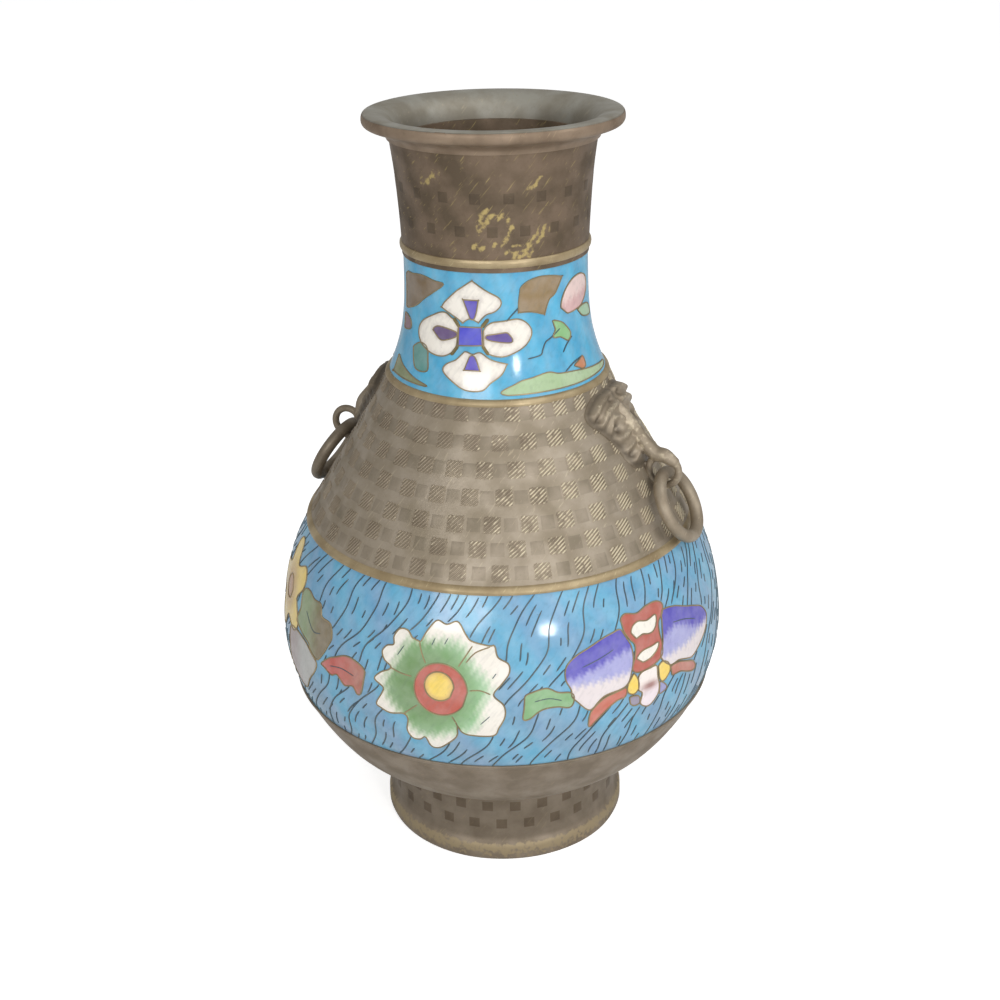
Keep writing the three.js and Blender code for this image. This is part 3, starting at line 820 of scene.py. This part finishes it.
# Cells as (name, glass, tint, outline in tenths of a millimetre, cells inside it). The lotus runs from its
# petals inwards, and the flower and leaves beside it follow.
LOTUS_CELLS = [
    ("lotus_petals", "white", lotus_paint, [
        (-72, 142), (-52, 176), (-22, 209), (12, 201), (49, 211), (78, 176), (97, 159), (153, 147),
        (170, 147), (180, 113), (212, 92), (214, 63), (191, 30), (165, -6), (195, -40), (199, -78),
        (180, -120), (162, -150), (95, -151), (66, -141), (53, -120), (49, -158), (20, -191), (-13, -216),
        (-38, -212), (-53, -178), (-72, -191), (-97, -191), (-113, -162), (-107, -120), (-122, -103),
        (-168, -112), (-201, -103), (-218, -91), (-197, -49), (-193, -28), (-226, -8), (-205, 18),
        (-176, 34), (-168, 47), (-193, 63), (-203, 88), (-188, 109), (-163, 118), (-165, 143), (-147, 168),
        (-118, 168), (-97, 147),
    ], "lotus_ring"),
    ("lotus_ring", "red", RED, rosette(12, 0, [(0, 8.5)]), "lotus_centre"),
    ("lotus_centre", "yellow", rimmed(GOLD, YELLOW, 1.5), rosette(10, 0, [(0, 4.7)], (-0.4, 1.1))),
    ("yellow_flower", "yellow", flower_paint,
     rosette(5, 33, [(-36, 9.5), (-14, 14.5), (0, 16), (14, 14.8)], YELLOW_FLOWER), "yellow_flower_heart"),
    ("yellow_flower_heart", "red", (172, 124, 74), rosette(8, 0, [(0, 4)], YELLOW_FLOWER)),
    ("olive_leaf", "olive", run_along(-58, (130, 148, 106), 9, (120, 106, 76)), [
        (-655, 26), (-636, 80), (-640, 134), (-620, 154), (-588, 156), (-550, 144), (-506, 144), (-488, 110),
        (-438, 104), (-422, 64), (-438, 30), (-460, -6), (-494, -42), (-532, -30), (-554, -8), (-600, 4),
    ]),
    ("grey_leaf", "grey", run_along(-68, (156, 140, 138), 8, (176, 176, 172)), [
        (-720, -30), (-660, -6), (-580, -12), (-530, -36), (-498, -56), (-508, -90), (-550, -140),
        (-600, -200), (-660, -200), (-740, -140),
    ]),
    ("red_leaf", "red", run_along(-38, (186, 92, 82), 12, (165, 113, 94)), [
        (-470, -46), (-436, -14), (-400, 6), (-350, 28), (-308, 26), (-268, 8), (-268, -24), (-278, -74),
        (-294, -86), (-314, -64), (-350, -74), (-384, -50), (-414, -62), (-450, -50),
    ]),
    ("green_leaf", "green", (128, 170, 120), [
        (260, -16), (280, -4), (328, 6), (364, -12), (406, -20), (414, -44), (400, -68), (360, -60),
        (320, -62), (296, -74), (274, -92), (254, -92), (258, -50),
    ]),
]
BUTTERFLY_CELLS = [
    ("left_wing", "violet", wing_paint, [
        (-76, 140), (-114, 138), (-150, 130), (-200, 112), (-246, 94), (-278, 66), (-282, 26), (-266, -10),
        (-264, -34), (-244, -58), (-218, -86), (-200, -90), (-172, -64), (-146, -52), (-78, -42), (-52, 6),
        (-44, 50), (-50, 92),
    ]),
    ("right_wing", "violet", wing_paint, [
        (100, 142), (124, 148), (174, 138), (228, 116), (286, 94), (334, 70), (364, 30), (346, -8),
        (294, -40), (236, -62), (200, -54), (154, -39), (110, -38), (70, 6), (86, 50), (92, 96),
    ]),
    ("body", "red", (176, 92, 78), [
        (-72, 168), (-50, 182), (-5, 172), (40, 182), (88, 182), (114, 166), (104, 140), (80, 120), (76, 86),
        (82, 46), (74, 8), (26, -10), (-30, -12), (-50, 6), (-36, 44), (-32, 80), (-50, 104), (-68, 136),
    ], "upper_patch", "lower_patch"),
    ("upper_patch", "white", WHITE, [
        (-40, 120), (-32, 138), (-6, 148), (30, 140), (72, 146), (66, 116), (50, 100), (28, 98), (4, 104),
        (-26, 99),
    ]),
    ("lower_patch", "white", WHITE, [
        (-30, 34), (-6, 52), (36, 55), (66, 58), (58, 38), (28, 20), (-12, 16),
    ]),
    ("head", "pink", head_paint, [
        (-30, -32), (-14, -16), (20, -14), (48, -16), (50, -50), (56, -86), (50, -120), (14, -148),
        (-22, -126), (-16, -90), (-32, -70),
    ]),
    ("left_eye", "yellow", YELLOW, [
        (-48, -11), (-32, -34), (-30, -65), (-50, -81), (-73, -65), (-68, -34),
    ]),
    ("right_eye", "yellow", YELLOW, [
        (56, -24), (76, -12), (100, -24), (110, -50), (94, -72), (70, -80), (56, -54),
    ]),
    ("left_strip", "red", (190, 104, 84), [
        (-80, -48), (-82, -78), (-114, -84), (-150, -106), (-186, -138), (-206, -156), (-210, -136),
        (-202, -98), (-168, -68), (-136, -56),
    ]),
    ("right_strip", "red", (184, 116, 98), [
        (112, -46), (154, -46), (196, -62), (236, -80), (256, -106), (240, -118), (200, -102), (162, -84),
        (114, -76),
    ]),
    ("left_lobe", "violet", (140, 130, 150), [
        (-66, -88), (-32, -93), (-25, -120), (-45, -125), (-64, -110),
    ]),
    ("right_lobe", "violet", (150, 150, 195), [
        (59, -79), (86, -97), (91, -115), (55, -120),
    ]),
]
NECK_CELLS = [
    ("petal_top", "white", petal_paint, [
        (-2, 170), (-2, 170), (40, 142), (84, 118), (90, 96), (70, 76), (42, 66), (18, 42), (18, 42),
        (-10, 52), (-34, 38), (-34, 38), (-60, 54), (-110, 78), (-110, 78), (-96, 98), (-46, 142),
    ], "heart_top"),
    ("petal_left", "white", petal_paint, [
        (-48, 32), (-70, 48), (-102, 64), (-150, 46), (-196, 18), (-210, -14), (-194, -46), (-150, -68),
        (-102, -72), (-66, -54), (-52, -26),
    ], "heart_left"),
    ("petal_right", "white", petal_paint, [
        (34, 16), (56, 40), (98, 46), (144, 50), (176, 32), (188, 4), (170, -28), (134, -50), (90, -62),
        (48, -52), (34, -30),
    ], "heart_right"),
    ("petal_bottom", "white", petal_paint, [
        (-26, -50), (0, -56), (24, -50), (56, -70), (104, -84), (104, -84), (88, -114), (56, -138),
        (32, -160), (-12, -162), (-48, -146), (-90, -116), (-84, -94), (-48, -74),
    ], "heart_bottom"),
    ("flower_centre", "violet", (80, 80, 196), [
        (-47, 25), (-47, 25), (28, 27), (28, 27), (30, -28), (30, -28), (-47, -33), (-47, -33),
    ]),
    ("olive_left", "olive", (112, 92, 64), [
        (-310, 144), (-250, 158), (-194, 164), (-138, 156), (-102, 150), (-146, 118), (-184, 94), (-220, 68),
        (-260, 50), (-312, 46),
    ]),
    ("olive_right", "olive", (136, 112, 74), [
        (154, 144), (180, 164), (220, 173), (266, 170), (310, 160), (310, 160), (280, 114), (254, 96),
        (236, 54), (236, 54), (190, 68), (146, 70), (146, 70), (148, 110),
    ]),
    ("bud", "pink", layered((202, 160, 158), ((222, 196, 190), [(30, 6), (46, 9)])), [
        (304, 62), (314, 98), (338, 126), (372, 144), (420, 146), (460, 126), (466, 86), (426, 52),
        (388, 42), (326, 40),
    ]),
    ("bud_leaf", "green", (130, 180, 120), [
        (266, 28), (294, 22), (316, 8), (340, -24), (324, -44), (296, -28), (264, -22), (276, 4),
    ]),
    ("pale_leaf", "green", (150, 186, 150), [
        (390, 36), (430, 44), (480, 34), (500, 0), (450, 2), (410, 16),
    ]),
    ("green_left", "green", (85, 138, 132), [
        (-230, -70), (-196, -48), (-164, -56), (-154, -90), (-150, -126), (-196, -130), (-220, -100),
    ]),
    ("green_strip", "green", (162, 186, 144), [
        (104, -174), (134, -140), (180, -130), (230, -122), (266, -132), (324, -138), (380, -146),
        (460, -156), (520, -166), (460, -176),
    ]),
    ("left_strip", "green", (125, 133, 95), [
        (-320, -120), (-270, -136), (-200, -156), (-140, -170), (-320, -172), (-320, -172),
    ]),
    ("red_bit", "red", (188, 124, 86), [
        (330, -124), (354, -114), (378, -106), (380, -136), (356, -140),
    ]),
    ("mauve_bit", "olive", (120, 86, 94), [
        (-320, 16), (-270, 10), (-262, -20), (-320, -28),
    ]),
    ("heart_top", "violet", (86, 72, 176), [
        (-32, 110), (-32, 110), (18, 110), (18, 110), (6, 56), (-12, 56),
    ]),
    ("heart_left", "violet", (98, 76, 120), [
        (-144, 2), (-120, 18), (-58, 8), (-58, -8), (-104, -24), (-126, -14),
    ]),
    ("heart_right", "violet", (96, 78, 148), [
        (46, 4), (46, -10), (100, -20), (124, -18), (120, -2), (100, 12),
    ]),
    ("heart_bottom", "violet", (88, 74, 182), [
        (-10, -64), (8, -64), (24, -104), (24, -104), (-24, -104), (-24, -104),
    ]),
]
MOTIFS = [
    (LOTUS, BELLY_WALL, "", LOTUS_CELLS),
    (BUTTERFLY, BELLY_WALL, "butterfly_", BUTTERFLY_CELLS),
    (QUATREFOIL, NECK_WALL, "neck_", NECK_CELLS),
]


def make_cells(prefix, spot, cells):
    """The glass of a motif's cells at a spot. Gives their outlines as closed [angle, height] paths."""
    outlines = {
        name: points if isinstance(points, np.ndarray) else smooth_outline(np.array(points) / 10)
        for name, _, _, points, *_ in cells
    }
    for name, glass, tint, _, *holes in cells:
        shape, flat, away = fill(spot, outlines[name], [outlines[hole] for hole in holes])
        names = (prefix + name, prefix + SHARED_CELLS.get(name, name))
        known = sorted(set(names) & set(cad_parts))
        colour = tint(flat, away) if callable(tint) else tint
        piece(f"{prefix}{name}_glass", shape, "enamel", replaces=known, tint=colour)
    return [place(spot, np.vstack([line, line[:1]])) for line in outlines.values()]


def make_motifs():
    """Every cell at the front and half a turn round, with the walls round them. Gives their outlines."""
    walls, outlines = {}, []
    for side, turn in (("front", 0), ("back", 180)):
        for (degrees, *rest), width, prefix, cells in MOTIFS:
            edges = make_cells(f"{side}_{prefix}", (degrees + turn, *rest), cells)
            walls.setdefault((rest[1], width), []).extend(edges)
            outlines += edges
        for (degrees, *rest), width, lines in SHORT_WALLS:
            made = [place((degrees + turn, *rest), catmull(line, 5)) for line in lines]
            walls.setdefault((rest[1], width), []).extend(made)
    for (reach, width), lines in walls.items():
        band_name = "neck" if reach == QUATREFOIL[2] else "belly"
        kind, finish = WALL_KINDS[width]
        piece(f"{band_name}_{kind}", ribbons(lines, width, FILL_DEPTH, OUTLINE_LEVEL), finish)
    return [outline[:-1] for outline in outlines]


# Grounds


def line_shift(k, z):
    """How far line k of the belly ground lies along from its start at the top, at a height."""
    drop = BELLY_BED[1] - z
    start = 0.7 * k
    wave = LINE_WAVE * np.sin(FULL_TURN * drop / LINE_WAVE_LENGTH + start) - LINE_WAVE * math.sin(start)
    return -LINE_LEAN * drop + wave + 0.25 * np.sin(FULL_TURN * drop / 11 + 2.3 * k)


def belly_wires():
    """Wavy slanting lines round the belly, and short dashes in two rows between them."""
    random.seed(LINE_SEED)
    reach = LOTUS[2]
    gap = FULL_TURN * reach / BELLY_LINES
    z = np.linspace(*BELLY_BED, 90)
    lines, dashes = [], []
    for k in range(BELLY_LINES):
        along = gap * (k + random.uniform(-LINE_STRAY, LINE_STRAY))
        lines.append(columns((along + line_shift(k, z)) / reach, z))
        for share in DASH_ROWS:
            height = BELLY_BED[0] + random.uniform(0, FIRST_DASH_GAP)
            while height < BELLY_BED[1] - LAST_DASH_GAP:
                length = random.choice(DASHES)
                offset = gap * (share + random.uniform(-DASH_STRAY, DASH_STRAY))
                rise = np.linspace(height, min(height + length, BELLY_BED[1]), 9)
                dashes.append(columns((along + offset + line_shift(k, rise)) / reach, rise))
                height += length + random.uniform(*DASH_GAP)
    return lines, dashes


def ground(name, node, bed, tints, rows, turns):
    """The glass ground of a band: a colour at its top, one at its bottom, and slanting streaks of two."""
    shape = lathe(band(*bed, rows, GROUND_LEVEL, GROUND_SKIN), turns)
    angle, z = angle_of(shape[0]), shape[0][:, 2]
    top, low, bright, grey = tints
    slant = angle * 9 + z * 0.11
    # The change from the top colour to the low one is partly the glass's colour and partly painted shade on
    # the lower part.
    colour = fade(low, top, (z - bed[0]) / (bed[1] - bed[0]))
    colour = blend(colour, bright, np.clip(0.4 + 0.5 * np.sin(slant * 1.7 + np.sin(angle * 5)), 0, 0.8))
    colour = blend(colour, grey, np.clip(0.5 * np.sin(slant * 4.1 - z * 0.21) - 0.1, 0, 0.8))
    piece(name, shape, "enamel", replaces=(node,), tint=colour)


def make_grounds(outlines):
    ground("belly_enamel", "belly_ground", BELLY_BED, BELLY_BLUES, 60, BELLY_TURNS)
    ground("neck_enamel", "neck_ground", NECK_BED, NECK_BLUES, 44, NECK_TURNS)
    lines, dashes = (
        ribbons(outside(paths, outlines), BELLY_WIRE, WIRE_DEPTH, WIRE_LEVEL) for paths in belly_wires()
    )
    piece("belly_lines", lines, "wire", replaces=("vase_body",))
    piece("belly_dashes", dashes, "wire")


# Diaper


def on_square(angle, z, x, y):
    """The angle and height at millimetres along and up from a spot on the wall."""
    return angle + x / wall_radius(z), z + y / math.sqrt(1 + wall_slope(z) ** 2)


def pad(angle, z, size):
    """A low square pad on the wall with bevelled sides."""
    count = len(SQUARE_STEPS)
    x, y = (grid.ravel() * size for grid in np.meshgrid(SQUARE_STEPS, SQUARE_STEPS))
    spots = on_square(angle, z, x, y)
    level = np.full((count, count), SQUARE_FOOT)
    level[1:-1, 1:-1] = SQUARE_RISE
    top = [
        (r * count + c, r * count + c + 1, (r + 1) * count + c + 1, (r + 1) * count + c)
        for r in range(count - 1) for c in range(count - 1)
    ]
    return thickened(on_wall(*spots, level.ravel()), on_wall(*spots, SQUARE_DEPTH), top)


def ridge_tilt(angle):
    """How steeply the ridges of a square run, in radians: less towards the right of the photo."""
    degrees = math.degrees(angle) % 180
    return math.radians(50 - 0.33 * (degrees if degrees < 120 else degrees - 180))


def hatch(angle, z, size):
    """Slanting lines across a square, as [angle, height] paths."""
    tilt = ridge_tilt(angle)
    run, rise = math.cos(tilt), math.sin(tilt)
    count = int(size / RIDGE_PITCH)
    reach = size * 0.48
    paths = []
    for i in range(-count, count + 1):
        x, y = -rise * i * RIDGE_PITCH, run * i * RIDGE_PITCH
        first = max((-reach - x) / run, (-reach - y) / rise)
        last = min((reach - x) / run, (reach - y) / rise)
        if last - first >= 0.8:
            t = np.linspace(first, last, 6)
            paths.append(columns(*on_square(angle, z, x + run * t, y + rise * t)))
    return paths


def lattice(rows, count, start, offset=0.0):
    """The [angle, height] of staggered squares. Start gives a row's first angle for its height."""
    step = FULL_TURN / count
    return [
        (math.radians(start(z)) + step * (k + offset + 0.5 * (i % 2)), z)
        for i, z in enumerate(rows) for k in range(count)
    ]


def squares(name, spots, count, size, finish):
    """One piece of square pads, kept smaller than the gap between neighbours. Gives each pad's size."""
    sizes = [min(size, SQUARE_SHARE * FULL_TURN / count * float(wall_radius(z))) for _, z in spots]
    pads = [pad(*spot, side) for spot, side in zip(spots, sizes)]
    piece(name, joined(pads), finish, crease=DIAPER_CREASE)
    return sizes


def make_diapers():
    def shoulder_start(z):
        """A row's first angle in degrees: the rows swing round a little towards the bottom."""
        share = np.clip((SHIFT_TOP - z) / SHIFT_HEIGHT, 0, 1)
        return SHOULDER_FIRST + SHOULDER_SHIFT * share * share * (3 - 2 * share)

    hatched, smooth = (
        lattice(SHOULDER_ROWS, SHOULDER_SQUARES, shoulder_start, offset) for offset in (0.0, 0.5)
    )
    sizes = squares("shoulder_hatched_squares", hatched, SHOULDER_SQUARES, HATCHED_SIZE, "groove")
    lines = [path for spot, size in zip(hatched, sizes) for path in hatch(*spot, size)]
    ridges = ribbons(lines, RIDGE_WIDTH, 0, RIDGE_RISE)
    # The ridges are rubbed bright, with a painted highlight that is strongest towards the right, where the
    # light falls.
    wear_and_shade = np.interp(np.degrees(angle_of(ridges[0])), *RIDGE_WEAR_AND_HIGHLIGHT)
    piece("shoulder_ridges", ridges, "ridge", wear_and_shade=wear_and_shade, crease=DIAPER_CREASE)
    squares("shoulder_plain_squares", smooth, SHOULDER_SQUARES, SMOOTH_SIZE, "shoulder_dark")
    for name, rows, count, start, size, finish in OTHER_SQUARES:
        squares(name, lattice(rows, count, lambda z: start), count, size, finish)


# Bronze bands of the vessel


def neck_wear(points):
    """Where the patina of the upper neck is rubbed through to bright metal: a curl and a few strokes."""
    degrees, height, reach = WEAR_SPOT
    flat = columns((angle_of(points) - math.radians(degrees)) * reach, points[:, 2] - height)
    distance = from_edge(flat, [catmull(line, 8) for line in WEAR_STROKES])
    return np.clip(0.62 - distance / 2.6 + 0.14 * streaks(flat), 0, 1)


def make_bronze():
    shape = lathe(np.vstack([along_wall(np.linspace(*COLLAR, 64)), COLLAR_BACK]), LIP_TURNS)
    wear_and_shade = neck_wear(shape[0]) * (radius_of(shape[0]) > COLLAR_OUTER)
    piece("collar", shape, "collar", replaces=("vase_body",), wear_and_shade=wear_and_shade)

    lip = catmull(LIP_OUTLINE, LIP_STEPS)[:, ::-1]
    crest = LIP_STEPS * LIP_CREST
    edge = lathe(np.vstack([lip[:crest + 1], LIP_EDGE_BACK]), LIP_TURNS)
    piece("lip_edge", edge, "lip_edge", replaces=("vase_body",))
    top = lathe(np.vstack([lip[crest - 1:], LIP_TOP_BACK]), LIP_TURNS)
    # Painted shade inside the mouth, darker further down.
    shaded = np.clip((LIP_SHADE_TOP - top[0][:, 2]) / LIP_SHADE_DEPTH, 0, 1)
    piece("lip_top", top, "lip", wear_and_shade=LIP_SHADE * shaded * (radius_of(top[0]) < LIP_SHADE_RADIUS))

    piece("shoulder_band", lathe(band(*SHOULDER, 60), BODY_TURNS), "shoulder", replaces=("vase_body",))

    lower = along_wall(np.linspace(*LOWER_BODY, 44))
    foot = np.array(FOOT_OUTLINE)[:, ::-1]
    shape = lathe(np.vstack([foot, lower, lower[-1] - (WALL, 0), FOOT_INSIDE]), BODY_TURNS)
    # A brighter worn rim, with painted shade at the very bottom and on the foot under the belly's overhang.
    wear_and_shade = np.interp(shape[0][:, 2], *FOOT_WEAR_AND_SHADE)
    piece("lower_body_and_foot", shape, "foot", replaces=("vase_body",), wear_and_shade=wear_and_shade)

    liner = along_wall(np.linspace(*INSIDE, 60), -WALL)
    piece("inside_wall", lathe(np.vstack([liner, liner[::-6] + (LINER, 0)]), INSIDE_TURNS), "inside")
    for name, finish, rib in RIBS:
        piece(name, lathe(rib_loop(*rib), RIB_TURNS), finish)
    piece("foot_plate", lathe(FOOT_PLATE, PLATE_TURNS, even=True), "inside", replaces=("base_plate",))


# Handles and rings


def tube(points, radii, sides=14):
    """A closed tube along points with a radius at each."""
    along = np.gradient(points, axis=0)
    along /= np.linalg.norm(along, axis=1)[:, None]
    side = np.cross(along, (0.13, 0.92, 0.37))
    side /= np.linalg.norm(side, axis=1)[:, None]
    other = np.cross(along, side)
    turn = (np.arange(sides) * FULL_TURN / sides)[None, :, None]
    circle = np.cos(turn) * side[:, None] + np.sin(turn) * other[:, None]
    rings = points[:, None] + circle * radii[:, None, None]
    return rings.reshape(-1, 3), between_rings(len(points), sides, False)


def torus(centre, radius, wire, axis, turns, sides):
    """A ring round an axis through its centre."""
    axis = np.array(axis, float)
    first = np.cross(axis, (0, 0, 1))
    first /= np.linalg.norm(first)
    second = np.cross(axis, first)
    around = (np.arange(turns) * FULL_TURN / turns)[:, None, None]
    turn = (np.arange(sides) * FULL_TURN / sides)[None, :, None]
    outward = np.cos(around) * first + np.sin(around) * second
    points = np.array(centre) + outward * (radius + wire * np.cos(turn)) + axis * wire * np.sin(turn)
    return points.reshape(-1, 3), between_rings(turns, sides, True, True)


def ball(centre, radius, rings=12, sides=18):
    """A closed ball, from its top down."""
    tilt = (math.pi * np.arange(1, rings) / rings)[:, None]
    turn = (FULL_TURN * np.arange(sides) / sides)[None]
    circles = columns(np.sin(tilt) * np.cos(turn), np.sin(tilt) * np.sin(turn), np.cos(tilt) + 0 * turn)
    points = np.vstack([[0, 0, 1], circles.reshape(-1, 3), [0, 0, -1]]) * radius + centre
    middle = between_rings(rings - 1, sides, False, True)[:-2]
    faces = [tuple(i + 1 for i in face) for face in middle]
    last = (rings - 2) * sides + 1
    for j in range(sides):
        k = (j + 1) % sides
        faces += [(0, 1 + j, 1 + k), (last + j, len(points) - 1, last + k)]
    return points, faces


def mask_relief(flat, away):
    """How far the mask stands off the wall at each of its points."""
    mirrored = columns(np.abs(flat[:, 0]), flat[:, 1])
    rise = MASK_EDGE + MASK_FULL * (1 - np.exp(-away / MASK_SWELL))
    for width, height, line in MASK_RIDGES:
        distance = from_edge(mirrored, [catmull(line, 10)])
        rise = rise + height * np.exp(-((distance / width) ** 2)) * np.clip(away / 1.5, 0, 1)
    for width, depth, across, up in MASK_HOLLOWS:
        distance = np.hypot(mirrored[:, 0] - across, mirrored[:, 1] - up)
        rise = rise - depth * np.exp(-((distance / width) ** 2))
    return np.maximum(rise, MASK_LEAST)


def mask_parts(curl):
    """The mask's face, its trunk that curls onto the eyelet, and the eyelet, on the right side."""
    half = np.array(MASK_HALF)
    outline = smooth_outline(np.vstack([half, half[::-1] * (-1, 1)]), 0.7)
    face = fill(MASK_SPOT, outline, level=mask_relief, depth=-0.5, spacing=0.5)[0]
    nose = [on_wall(math.pi / 2, MASK_SPOT[1] + up, out) for up, out, _ in TRUNK]
    end = [(EYELET_X + out, 0, EYELET_Z + EYELET_RADIUS + up) for out, up, _ in curl]
    line = catmull([*nose, *end], 6)
    radii = catmull([[radius] for _, _, radius in TRUNK + curl], 6)[:, 0]
    radius, wire = EYELET_RADIUS + EYELET_SKIN, EYELET_WIRE + EYELET_SKIN
    eyelet = torus((EYELET_X, 0, EYELET_Z), radius, wire, (0, 1, 0), 60, 16)
    return joined([face, tube(line, radii), ball(line[-1], radii[-1]), eyelet])


def standing_out(points):
    """Wear and painted shade for the handle: bright wear on what stands out from the wall, painted shade in
    the hollows near it.
    """
    return np.interp(radius_of(points) - wall_radius(points[:, 2]), *HANDLE_WEAR_AND_SHADE)


def fused(shape):
    """One skin round overlapping closed lumps."""
    holder = add_object("lumps", new_mesh("lumps", shape))
    remesh = holder.modifiers.new("skin", "REMESH")
    remesh.mode = "VOXEL"
    remesh.voxel_size = MASK_VOXEL * MM
    soften = holder.modifiers.new("soften", "SMOOTH")
    soften.factor = 0.5
    soften.iterations = 2
    skin = bpy.data.meshes.new_from_object(holder.evaluated_get(bpy.context.evaluated_depsgraph_get()))
    bpy.data.objects.remove(holder)
    points = np.zeros(len(skin.vertices) * 3)
    skin.vertices.foreach_get("co", points)
    return points.reshape(-1, 3) / MM, [tuple(polygon.vertices) for polygon in skin.polygons]


def ring_shape():
    """The loose ring in its eyelet, lying along the shoulder."""
    slope = math.radians(RING_SLOPE)
    hang = EYELET_Z - (EYELET_RADIUS - EYELET_WIRE - RING_WIRE - RING_GAP)
    centre = (EYELET_X + RING_RADIUS * math.sin(slope), 0, hang - RING_RADIUS * math.cos(slope))
    return torus(centre, RING_RADIUS, RING_WIRE, (math.cos(slope), 0, math.sin(slope)), 96, 24)


def half_turn(shape):
    return shape[0] * np.array([-1, -1, 1]), shape[1]


def make_handles():
    ring = ring_shape()
    for side, curl, side_shade in (("right", RIGHT_CURL, 0), ("left", LEFT_CURL, LEFT_SHADE)):
        mask = fused(mask_parts(curl))
        # The left handle and its ring get painted shade all over.
        wear_and_shade = standing_out(mask[0]) + side_shade
        if side == "left":
            mask, ring = half_turn(mask), half_turn(ring)
        piece(f"{side}_mask_and_eyelet", mask, "handle", replaces=(f"{side}_handle",),
              wear_and_shade=wear_and_shade, crease=HANDLE_CREASE)
        piece(f"{side}_loose_ring", ring, "handle", body=f"{side}_ring",
              replaces=(f"{side}_ring",), wear_and_shade=np.full(len(ring[0]), side_shade), crease=HANDLE_CREASE)


# Stage, light and camera


def make_floor():
    corners = [(-1, -1), (1, -1), (1, 1), (-1, 1)]
    mesh = bpy.data.meshes.new("floor")
    mesh.from_pydata([(x * FLOOR_REACH, y * FLOOR_REACH, 0) for x, y in corners], [], [(0, 1, 2, 3)])
    material, tree, shader = new_material("pale_floor", 0.0, 0.9)
    path = new_node(tree, "LightPath", {})
    feed(tree, shader, {
        "Base Color": [FLOOR_GREY, FLOOR_GREY, FLOOR_GREY, 1], "Emission Color": [1, 1, 1, 1],
        "Emission Strength": span(tree, path.outputs["Is Camera Ray"], 0, 1, 0, FLOOR_GLOW),
    })
    mesh.materials.append(material)
    add_object("floor", mesh)


def make_lights():
    for name, turn, rise, distance, width, height, watts in LAMPS:
        lamp = bpy.data.lights.new(name, "AREA")
        lamp.shape = "RECTANGLE"
        lamp.size, lamp.size_y, lamp.energy = width, height, watts
        turn, rise = math.radians(turn), math.radians(rise)
        way = Vector((math.sin(turn) * math.cos(rise), -math.cos(turn) * math.cos(rise), math.sin(rise)))
        holder = add_object(name, lamp)
        holder.location = LAMP_AIM + way * distance
        holder.rotation_euler = way.to_track_quat("Z", "Y").to_euler()
    world = bpy.data.worlds.new("soft_room")
    world.use_nodes = True
    tree = world.node_tree
    path = new_node(tree, "LightPath", {})
    level = span(tree, path.outputs["Is Camera Ray"], 0, 1, ROOM_LIGHT, 1)
    feed(tree, tree.nodes["Background"], {"Color": [1, 1, 1, 1], "Strength": level})
    bpy.context.scene.world = world


def make_camera():
    turn, tip, roll = (math.radians(a) for a in (CAMERA_TURN, 90 - CAMERA_PITCH, CAMERA_ROLL))
    lens = bpy.data.cameras.new("photo_view")
    lens.sensor_width = SENSOR_WIDTH
    lens.lens = FOCAL_PIXELS / FRAME_PIXELS * SENSOR_WIDTH
    lens.shift_y = (PRINCIPAL_ROW - FRAME_PIXELS / 2) / FRAME_PIXELS
    lens.clip_start = 0.01
    camera = add_object("photo_camera", lens)
    spot = Vector((math.sin(turn) * CAMERA_DISTANCE, -math.cos(turn) * CAMERA_DISTANCE, CAMERA_HEIGHT)) * MM
    aim = Matrix.Rotation(turn, 4, "Z") @ Matrix.Rotation(tip, 4, "X") @ Matrix.Rotation(roll, 4, "Z")
    camera.matrix_world = Matrix.Translation(spot) @ aim
    bpy.context.scene.camera = camera


bpy.context.scene.view_settings.view_transform = "Standard"
make_camera()
make_lights()
make_floor()
make_bronze()
make_diapers()
make_grounds(make_motifs())
make_handles()
